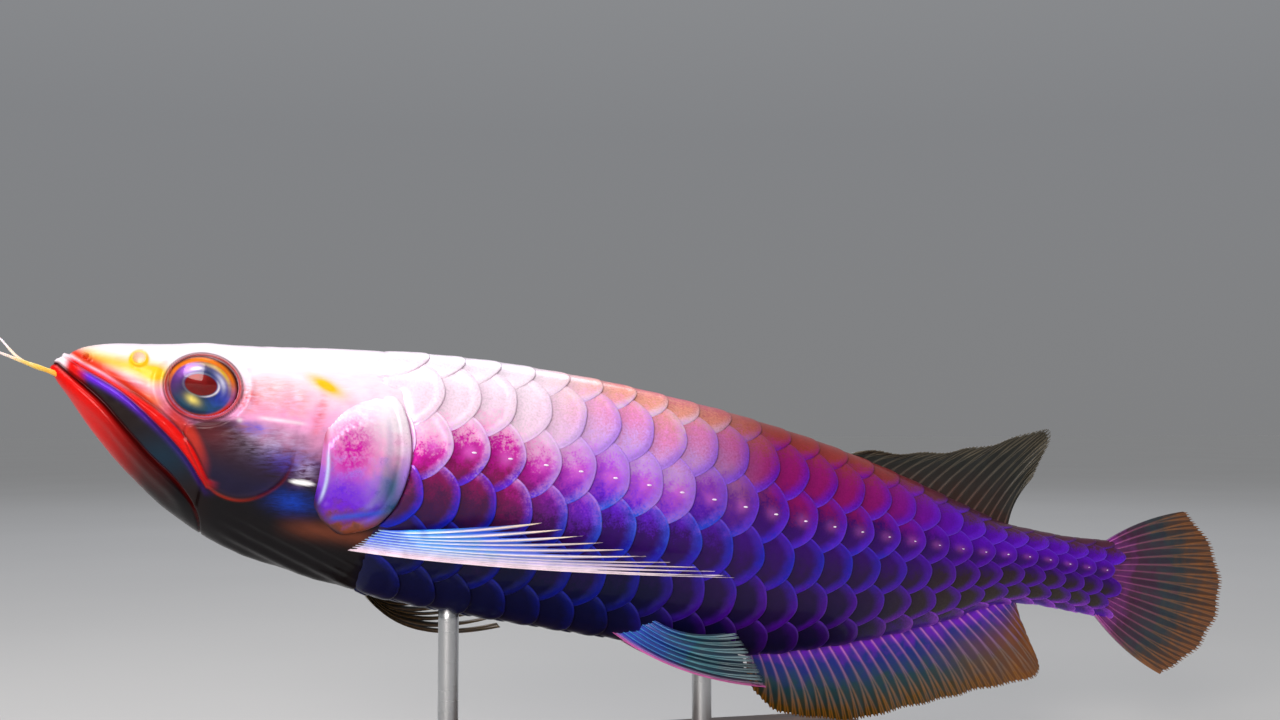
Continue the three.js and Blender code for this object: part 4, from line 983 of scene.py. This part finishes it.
def fin_sheet(name, material, node, root, edge, rays, bow, half=(0.34, 0.12), ridge=(0.5, 0.14),
              notch=0.05, split=0.4, fork=0.25, width=0.1, first=0.0, fore=0.02, samples=22):
    """A fin as one thin closed sheet from its root line to its edge. Its rays stand out of both
    faces, branch on their way out and end in the points of the edge."""
    columns = rays * samples + 1
    a = np.linspace(0, 1, columns)[:, None]
    out = np.linspace(0, 1, FIN_ROWS)[None, :]
    turn = (a * rays) % 1 - 0.5
    turn = np.where(a == 1, 0.5, turn)
    branch = fork * smooth(out, split, 1.0)
    twig = 0.44 * fork * smooth(out, split + 0.25, 1.1)
    thin = width * (1 - 0.45 * smooth(out, split, 1))
    ray = np.zeros((columns, FIN_ROWS))
    for way in (-1, 1):
        for small in (-1, 1):
            ray = np.maximum(ray, bump(turn - way * branch - small * twig, thin))
    lead = bump(a, 0.3 / rays) * np.ones_like(out)
    ray = np.maximum(ray, lead)
    roots, edges = catmull_rom(root, a[:, 0])[:, None], catmull_rom(edge, a[:, 0])[:, None]
    # Where the rays crowd together at the edge, it waves and frays less.
    roomy = smooth(np.linalg.norm(np.gradient(edges, axis=0), axis=-1) * samples, 0.6, 2.2)
    pointed = np.clip(1 - np.abs(turn) * 2, 0, 1) ** 1.3
    uneven = 1 + 0.06 * np.sin(a * rays * 2.4 + 1)
    ends = np.maximum(ray[:, -1:] if fork > 0.1 else pointed, lead[:, -1:])
    reach = out * (1 - notch * uneven * (0.3 + 0.7 * roomy) * (1 - ends))
    b = reach[..., None]
    middle = roots * (1 - b) + edges * b
    middle = middle + np.array([bow(2 * x - 1) for x in a[:, 0]])[:, None] * 4 * b * (1 - b)
    across = np.cross(np.gradient(middle, axis=0), np.gradient(middle, axis=1))
    across /= np.maximum(np.linalg.norm(across, axis=-1, keepdims=True), 1e-9)
    thinning = out ** 0.6
    thick = half[0] * (1 - thinning) + half[1] * thinning
    thick = thick + ray * (ridge[0] * (1 - out) + ridge[1] * out)
    thick = thick + first * lead * (1 - 0.6 * out)
    wave = 0.5 * np.sin(2 * math.pi * (a * rays * 0.31 + 0.5 * out)) * out * roomy
    middle = middle + across * wave[..., None]
    points = np.stack([middle + across * thick[..., None], middle - across * thick[..., None]])
    long = np.linalg.norm(edges - roots, axis=-1)
    masks = {
        "out": reach,
        "rear": smooth(a, 0.5, 0.95) * smooth(out, 0.15, 0.5),
        "ray": ray,
        "lead": bump(a, fore) * np.ones_like(out),
        "joint": ray * (0.5 + 0.5 * np.cos(2 * math.pi * reach * long / 1.1)) * smooth(out, 0.2, 0.4),
    }
    masks = {key: np.stack([mask, mask]) for key, mask in masks.items()}
    make_piece(name, points, [slab_faces(columns, FIN_ROWS)], material, masks, replaced=(node,))


def make_median_fins():
    """The dorsal, anal and tail fins, on the fish's middle plane."""
    dorsal = fin_membrane("dorsal_fin_membrane", ("3c241a", "302824", "222420", "2c2a20"),
                          ("6a4438", "5a4c40", "5c5648", "6e6450"), 0.35)
    fin_sheet("dorsal_fin_sheet", dorsal, "dorsal_fin",
              [(s, 0, BACK(s) - 3) for s in (236, 252, 269, 286, 302)],
              [(243, 0, 24), (268, 0, 28.4), (291, 0, 36), (313, 0, 45), (309, 0, 28)],
              18, lambda turn: (-1, 1.5, 0.5), half=(0.35, 0.12), ridge=(0.4, 0.1), notch=0.05)
    anal = fin_membrane("anal_fin_membrane", ("8a14e4", "1a2c98", "0e4450", "34300c"),
                        ("f890fa", "b078b8", "80706a", "a0661c"), 0.3, rear="8a4604")
    # Its rays lean well back, and the last of them end in its rear edge.
    base_at, edge_at, edge_height = (
        profile(list(zip((0, 0.08, 0.23, 0.42, 0.64, 0.86, 0.94, 1), values)))
        for values in ((213, 219.5, 234, 253, 275, 296, 303, 307),
                       (215.7, 230.8, 251, 275, 300.1, 325, 317.7, 311),
                       (-53, -62.3, -61.9, -54.7, -45.8, -35, -27.3, -20)))
    shares = np.linspace(0, 1, 30)
    fin_sheet("anal_fin_sheet", anal, "anal_fin",
              [(s, 0, BELLY(s) + 3) for s in base_at(shares)],
              list(zip(edge_at(shares), 0 * shares, edge_height(shares))), 29,
              lambda turn: (1.2, -1.5, 0), half=(0.35, 0.12), ridge=(0.4, 0.1), notch=0.04, split=0.3,
              samples=18)
    caudal = fin_membrane("caudal_fin_membrane", ("8a2a90", "4a2040", "2a3a44", "5a3418"),
                          ("e070d0", "a05080", "7a5a44", "a8662c"), 0.3)
    turns = np.linspace(-1, 1, 9)
    fin_sheet("caudal_fin_sheet", caudal, "caudal_fin",
              [(STANDARD_LENGTH - 3, 0, TAIL_MIDDLE + TAIL["half"] * turn) for turn in turns],
              [(STANDARD_LENGTH + TAIL["reach"] * math.cos(TAIL["spread"] * turn) ** 0.9, 0,
                TAIL_MIDDLE + TAIL["height"] * math.sin(TAIL["spread"] * turn)) for turn in turns],
              17, lambda turn: (-1.5 * abs(turn), -1, 1.8 * turn), half=(0.6, 0.13),
              ridge=(0.5, 0.12), notch=0.04)


def make_paired_fins():
    """The long pectoral fins behind the gills and the pelvic fins under the belly."""
    # The two pectoral fins are painted unlike: the near one's almost white rays and leading edge are
    # partly painted light, and the far one's dark olive-brown is painted shade.
    near = fin_membrane("lit_near_pectoral_membrane", ("3060f4", "28a0fa", "1a62e4", "1a2aa8"),
                        ("c8ecff", "f0faff", "fff2f6", "ffe8d4"), 0.0, "ffecf8")
    far = fin_membrane("shaded_far_pectoral_membrane", ("3c3020", "2c2416", "1c1c14", "141a14"),
                       ("6a5a34", "5a4a2c", "6a4c24", "7a6038"), 0.25)
    pelvic = fin_membrane("pelvic_fin_membrane", ("1450e8", "0c3498", "0a3850", "0c2438"),
                          ("60c0fc", "4a98f0", "58a8b8", "86a0a8"), 0.25, "f070c4")
    for word, side in SIDES.items():
        tips, bow = PECTORAL[word]["tips"], PECTORAL[word]["bow"]
        fin_sheet(f"pectoral_fin_sheet_{word}", near if side == LEFT else far,
                  f"pectoral_fin_{word}",
                  [(87.5, side * 10.3, -34.6), (91, side * 12, -31.2), (95, side * 13.8, -27.4)],
                  [(s, side * l, z) for s, l, z in tips], 10,
                  lambda turn, bow=bow: (bow[0], side * bow[1], bow[2]), half=(0.4, 0.22),
                  ridge=(0.6, 0.32), notch=0.34, split=0.7, fork=0.03, width=0.22, first=0.6, fore=0.34,
                  samples=24)
        fin_sheet(f"pelvic_fin_sheet_{word}", pelvic, f"pelvic_fin_{word}",
                  [(165, side * 2.4, -43), (170, side * 3.9, -39.5), (175, side * 5.4, -36)],
                  [(217, side * 15, -53), (211, side * 17, -46), (203, side * 17, -38)], 8,
                  lambda turn: (-2, side * 1.5, -4), half=(0.3, 0.11), ridge=(0.35, 0.12), notch=0.08,
                  split=0.45, fork=0.2, width=0.13, first=0.3, fore=0.07, samples=24)


GILL_RINGS, GILL_STEPS = 44, 192


def make_gill_cover(word, side, material):
    """The gill cover: sunk into the cheek in front, standing free over the shoulder behind, with
    a thin edge, the ridge of the cheek bone in front and fine rays out from its hinge."""
    edge = catmull_rom([(s, 0, z) for s, z in GILL_OUTLINE], np.arange(GILL_STEPS) / GILL_STEPS, True)
    edge_s, edge_z = edge[:, 0] - GILL_CENTRE[0], edge[:, 2] - GILL_CENTRE[1]
    ring = np.linspace(0.02, 1, GILL_RINGS)[:, None]
    s, z = GILL_CENTRE[0] + edge_s * ring, GILL_CENTRE[1] + edge_z * ring
    share = share_at(s, z, side)
    normal = skin_normal(s, share)
    bare = bare_skin(s, share)
    from_edge = (1 - ring) * np.hypot(edge_s, edge_z)
    # It comes out of the cheek along a rounded line.
    high = smooth(z, -6, 5)
    front = fade(inside(rounded(GILL_FREE), s, z), -0.5 - 3 * high, 4 + 7 * high)
    ridge_line = 73.6 + 3.2 * bump(z + 17, 12)
    ridge = bump(s - ridge_line, 1.3) * smooth(z, -27, -21) * fade(z, -11, 2)
    suture = bump(z + 25.6 - 0.3 * (s - 80), 0.5) * smooth(s, 77, 80)
    hinge = np.arctan2(z - 6, s - 70)
    rays = np.sin(hinge * 46) * smooth(np.hypot(s - 70, z - 6), 4, 12)
    rise = 0.95 + 0.95 * np.sqrt(np.clip(1 - ring ** 6, 0, 1)) + 0.55 * ridge - 0.3 * suture
    rise = rise + 0.045 * rays - 2.4 * front ** 1.5 * (1 - 0.3 * ridge)
    rise = rise - 0.25 * bump(from_edge - 3.2, 0.7) * smooth(s, 80, 86) * (z > -30)
    thick = 0.4 + 0.6 * fade(ring, 0.82, 1)
    outer, inner = (bare + normal * lift[..., None] for lift in (rise, rise - thick))
    masks = {
        "height_on_plate": (z + 33) / 46,
        "from_edge": from_edge + 8 * front,
        "core": spot(s, z, 82, -7, 7.8, 0.9, 1.3),
        "purple": spot(s, z, 82.5, -18.6, 4, 1.7) * 0.9,
        "band": (0.5 - 0.5 * np.cos(from_edge * 1.5)) * bump(from_edge - 6, 4) * smooth(s, 86, 91)
        * smooth(-z, -8, 2) * 0.4,
        "teal": spot(s, z, 95, -15, 4, 0.9, 2) * 0.9,
        "blue": bump(z + 26.4 - 0.3 * (s - 80), 0.9) * smooth(s, 78, 82) * 0.85,
        "front": spot(s, z, 72, -9, 3.5, 1.1) * 0.3,
        "front_low": np.clip(front * smooth(-z, 17, 24), 0, 1),
        # Where a painted highlight runs along the lower part of the ridge.
        "ridge": bump(s - ridge_line - 0.3, 0.5) * smooth(-z, 7, 11) * smooth(z, -24, -19),
        "red_ridge": bump(s - ridge_line + 0.6, 0.9) * smooth(z, -9, -5) * fade(z, 0, 5) * 0.7,
    }
    make_piece(f"gill_cover_plate_{word}", shell(outer, inner), tube_faces(2 * GILL_RINGS, GILL_STEPS),
               material, shell_masks(masks), replaced=(f"gill_cover_{word}",))


EYE_RINGS, EYE_STEPS = 40, 120


def make_eye(word, side, material):
    """The eye as a shallow dome that fills its orbit, turned a little forward and up."""
    ring = np.linspace(0.015, 1.04, EYE_RINGS)[:, None]
    angle = (np.arange(EYE_STEPS) * 2 * math.pi / EYE_STEPS)[None, :]
    along, high = ring * np.cos(angle), ring * np.sin(angle)
    dome = EYE["deep"] * (0.42 + 0.58 * np.sqrt(np.clip(1 - (ring / 1.06) ** 2, 0, 1)))
    pupil = np.hypot(along / PUPIL_ALONG, (high - PUPIL_UP) / PUPIL_HIGH)
    lens = 0.35 * bump(pupil, 1.0)
    turned = np.array(Matrix.Rotation(-EYE_FORWARD, 3, "Z") @ Matrix.Rotation(EYE_UP, 3, "X"))
    outer, inner = (
        np.stack(np.broadcast_arrays(along * EYE["along"] * size, -depth, high * EYE["high"] * size), -1)
        for size, depth in ((1, dome + lens), (0.98, dome - 4.2 + 2.2 * ring ** 2)))
    points = shell(outer, inner) @ turned.T
    points[:, 1] *= -side
    points += np.array([EYE["s"], side * EYE["out"], EYE["z"]])
    way = np.degrees(np.arctan2(high, along)) % 360

    def arc(middle, half, radius, width):
        """A stretch of a ring of the iris: its middle and half length in degrees from the rear."""
        off = np.abs((way - middle + 180) % 360 - 180)
        return bump(off / half, 1) * bump(ring - radius, width)

    masks = {
        "radius": ring,
        "rear": along,
        "pupil": fade(pupil, 0.95, 1.03),
        "pupil_ring": bump(pupil - 1.09, 0.07) * (0.1 + 0.9 * smooth(along - 0.6 * high, 0.1, 0.5)),
        "iris_low": bump((high + 0.62) / 0.3, 1) * 0.6,
        "iris_purple": arc(138, 34, 0.74, 0.17) * 0.9,
        "iris_white": arc(30, 26, 0.66, 0.07) * 0.8 + arc(60, 20, 0.8, 0.05) * 0.6
        + arc(110, 16, 0.66, 0.05) * 0.5,
        "iris_wedge": spot(along + 0.5 * (high + 0.4), high, -0.16, -0.42, 0.14, 1.3, 1.1),
        "iris_gold": arc(48, 38, 0.83, 0.07),
        "iris_ring": smooth(ring, 0.84, 0.9) * (0.35 + 0.65 * smooth(high, -0.2, 0.5)),
        "iris_ring_low": smooth(ring, 0.88, 0.93) * smooth(-high, 0.1, 0.6),
    }
    masks = {name: np.broadcast_to(mask, along.shape) for name, mask in masks.items()}
    make_piece(f"eye_ball_{word}", points, tube_faces(2 * EYE_RINGS, EYE_STEPS), material,
               shell_masks(masks), replaced=(f"eye_{word}",))


BARBEL_STEPS, BARBEL_SIDES = 60, 20


def make_barbel(word, side, material):
    """A tapering barbel from the tip of the lower jaw, with a faint unevenness along it."""
    t = np.linspace(0, 1, BARBEL_STEPS)
    line = catmull_rom([(4, side * 1.9, -3.4), (0, side * 2.4, -2.2), (-9.5, side * 3.4, -0.6),
                        (-17, side * 5, 4.5 if side > 0 else 0.8)], t)
    along = np.gradient(line, axis=0)
    along /= np.linalg.norm(along, axis=1, keepdims=True)
    beside = np.cross(along, (0, 0, 1))
    beside /= np.linalg.norm(beside, axis=1, keepdims=True)
    over = np.cross(beside, along)
    radius = (0.95 - 0.7 * t) * (1 + 0.05 * np.sin(t * 40)) * np.where(t > 0.97, 0.7, 1)
    angle = np.arange(BARBEL_SIDES) * 2 * math.pi / BARBEL_SIDES
    spoke = beside[:, None] * np.cos(angle)[:, None] + over[:, None] * np.sin(angle)[:, None]
    points = line[:, None] + spoke * radius[:, None, None]
    points = np.concatenate([points.reshape(-1, 3), line[:1], line[-1:] + along[-1:] * 0.15])
    out = np.concatenate([np.repeat(t, BARBEL_SIDES), [0, 1]])
    make_piece(f"barbel_skin_{word}", points, tube_faces(BARBEL_STEPS, BARBEL_SIDES), material,
               {"out": out}, replaced=(f"barbel_{word}",))


def make_base(material):
    """The stand's base: a board with round corners and softened edges."""
    half_x, half_y, height = BASE["length"] / 2, BASE["width"] / 2, BASE["height"]
    corner, bevel = BASE["corner"], BASE["bevel"]
    steps = np.linspace(0, math.pi / 2, 7)
    outline = [(bevel, 0.0)]
    outline += [(bevel * (1 - math.sin(a)), bevel * (1 - math.cos(a))) for a in steps]
    outline += [(bevel * (1 - math.cos(a)), height - bevel * (1 - math.sin(a))) for a in steps]
    outline += [(bevel + 4.0, height)]
    quarter = np.linspace(0, math.pi / 2, 25)
    points = []
    for inset, z in outline:
        for turn, (right, rear) in enumerate(((1, 1), (-1, 1), (-1, -1), (1, -1))):
            for way in quarter + turn * math.pi / 2:
                points.append((right * (half_x - corner) + (corner - inset) * math.cos(way),
                               rear * (half_y - corner) + (corner - inset) * math.sin(way), z))
    points += [(0, 0, 0), (0, 0, height)]
    make_piece("stand_base_board", np.array(points) * MM, tube_faces(len(outline), 4 * len(quarter)),
               material, replaced=("stand_base",), posed=False)


def make_rods(material):
    """Each rod, turned round an upright axis: a foot with softened edges, a flare and the rod."""
    soft = 0.4
    for node, s in RODS.items():
        x, y, top = place((s, 0, BELLY(s) + 1.5)) / MM
        foot = BASE["height"] + 0.1
        thin, wide, tall, flare = (ROD[key] for key in ("radius", "foot", "foot_height", "flare"))
        line = [(wide - soft, foot), (wide, foot + soft), (wide, foot + tall - soft),
                (wide - soft, foot + tall)]
        line += [(thin + (wide - thin - 1.2) * (1 - a) ** 2.2, foot + tall + flare * a)
                 for a in np.linspace(0, 1, 9)]
        neck = foot + tall + flare
        line += [(thin, neck + (top - neck) * t) for t in np.linspace(0.1, 1, 10)]
        angle = np.arange(ROD_SIDES) * 2 * math.pi / ROD_SIDES
        points = [(x + radius * math.cos(a), y + radius * math.sin(a), z)
                  for radius, z in line for a in angle]
        points += [(x, y, foot), (x, y, line[-1][1])]
        make_piece(node + "_turned", np.array(points) * MM, tube_faces(len(line), ROD_SIDES), material,
                   replaced=(node,), posed=False)


def make_stage():
    """A pale floor 28 m square, and a plain pale room round it."""
    size = 14
    mesh = bpy.data.meshes.new("floor")
    mesh.from_pydata([(x * size, y * size, 0) for x, y in ((-1, -1), (1, -1), (1, 1), (-1, 1))],
                     [], [(0, 1, 2, 3)])
    mesh.materials.append(matte_floor())
    floor = bpy.data.objects.new("floor", mesh)
    bpy.context.scene.collection.objects.link(floor)
    world = bpy.data.worlds.new("studio")
    world.use_nodes = True
    tree = world.node_tree
    background = tree.nodes["Background"]
    # The room is darker at eye level than overhead.
    direction = add(tree, "TexCoord", output="Generated")
    upward = add(tree, "SeparateXYZ", {"Vector": direction}, output="Z")
    tone = add(tree, "ValToRGB", {"Fac": upward}, [(0.0, "b0b1b3"), (0.2, "b2b4b8"), (1.0, "f4f6fa")])
    tree.links.new(tone, background.inputs["Color"])
    background.inputs["Strength"].default_value = 0.5
    bpy.context.scene.world = world


def make_light(name, at, towards, size, power, code):
    """A softbox that points at a place."""
    lamp = bpy.data.lights.new(name, "AREA")
    lamp.shape = "RECTANGLE"
    lamp.size, lamp.size_y = size
    lamp.energy = power
    lamp.color = linear(code)[:3]
    light = bpy.data.objects.new(name, lamp)
    light.location = at
    light.rotation_euler = (Vector(towards) - Vector(at)).to_track_quat("-Z", "Y").to_euler()
    bpy.context.scene.collection.objects.link(light)


def make_lights():
    """One softbox over the fish, one on the camera's side and one behind."""
    middle = (0, 0, 0.09)
    make_light("overhead_softbox", (-0.2, -0.12, 0.62), (-0.06, 0, 0.09), (0.5, 0.36), 1.9, WHITE)
    make_light("front_softbox", (-0.6, -0.95, 0.46), middle, (0.5, 0.5), 8.8, "fff6f0")
    make_light("rear_softbox", (0.3, 1.2, 1.5), middle, (0.8, 0.7), 7.0, "eef3ff")


def make_camera():
    """A nearly level camera beside the fish's head, turned a little towards its tail."""
    sin_a, cos_a = math.sin(CAMERA_AZIMUTH), math.cos(CAMERA_AZIMUTH)
    sin_e, cos_e = math.sin(CAMERA_ELEVATION), math.cos(CAMERA_ELEVATION)
    back = Vector((sin_a * cos_e, -cos_a * cos_e, sin_e))
    right = Vector((cos_a, sin_a, 0))
    up = back.cross(right)
    data = bpy.data.cameras.new("camera")
    data.sensor_fit = "HORIZONTAL"
    data.sensor_width = SENSOR
    data.lens = CAMERA_FOCAL * SENSOR / FRAME_WIDTH
    data.clip_start, data.clip_end = 0.01, 60
    camera = bpy.data.objects.new("camera", data)
    turned = Matrix((right, up, back)).transposed().to_4x4()
    camera.matrix_world = Matrix.Translation(Vector(CAMERA_AT) * MM) @ turned
    bpy.context.scene.collection.objects.link(camera)
    bpy.context.scene.camera = camera


make_skin(wet_head_skin())
make_scales(wet_pearl_scale())
make_pores(pore_tissue())
gill_bone, eye_surface, barbel = gill_plate_bone(), wet_eye(), barbel_skin()
for word, side in SIDES.items():
    make_gill_cover(word, side, gill_bone)
    make_eye(word, side, eye_surface)
    make_barbel(word, side, barbel)
make_median_fins()
make_paired_fins()
make_base(oiled_walnut())
make_rods(brushed_steel())
make_stage()
make_lights()
make_camera()
bpy.context.scene.view_settings.view_transform = "Standard"
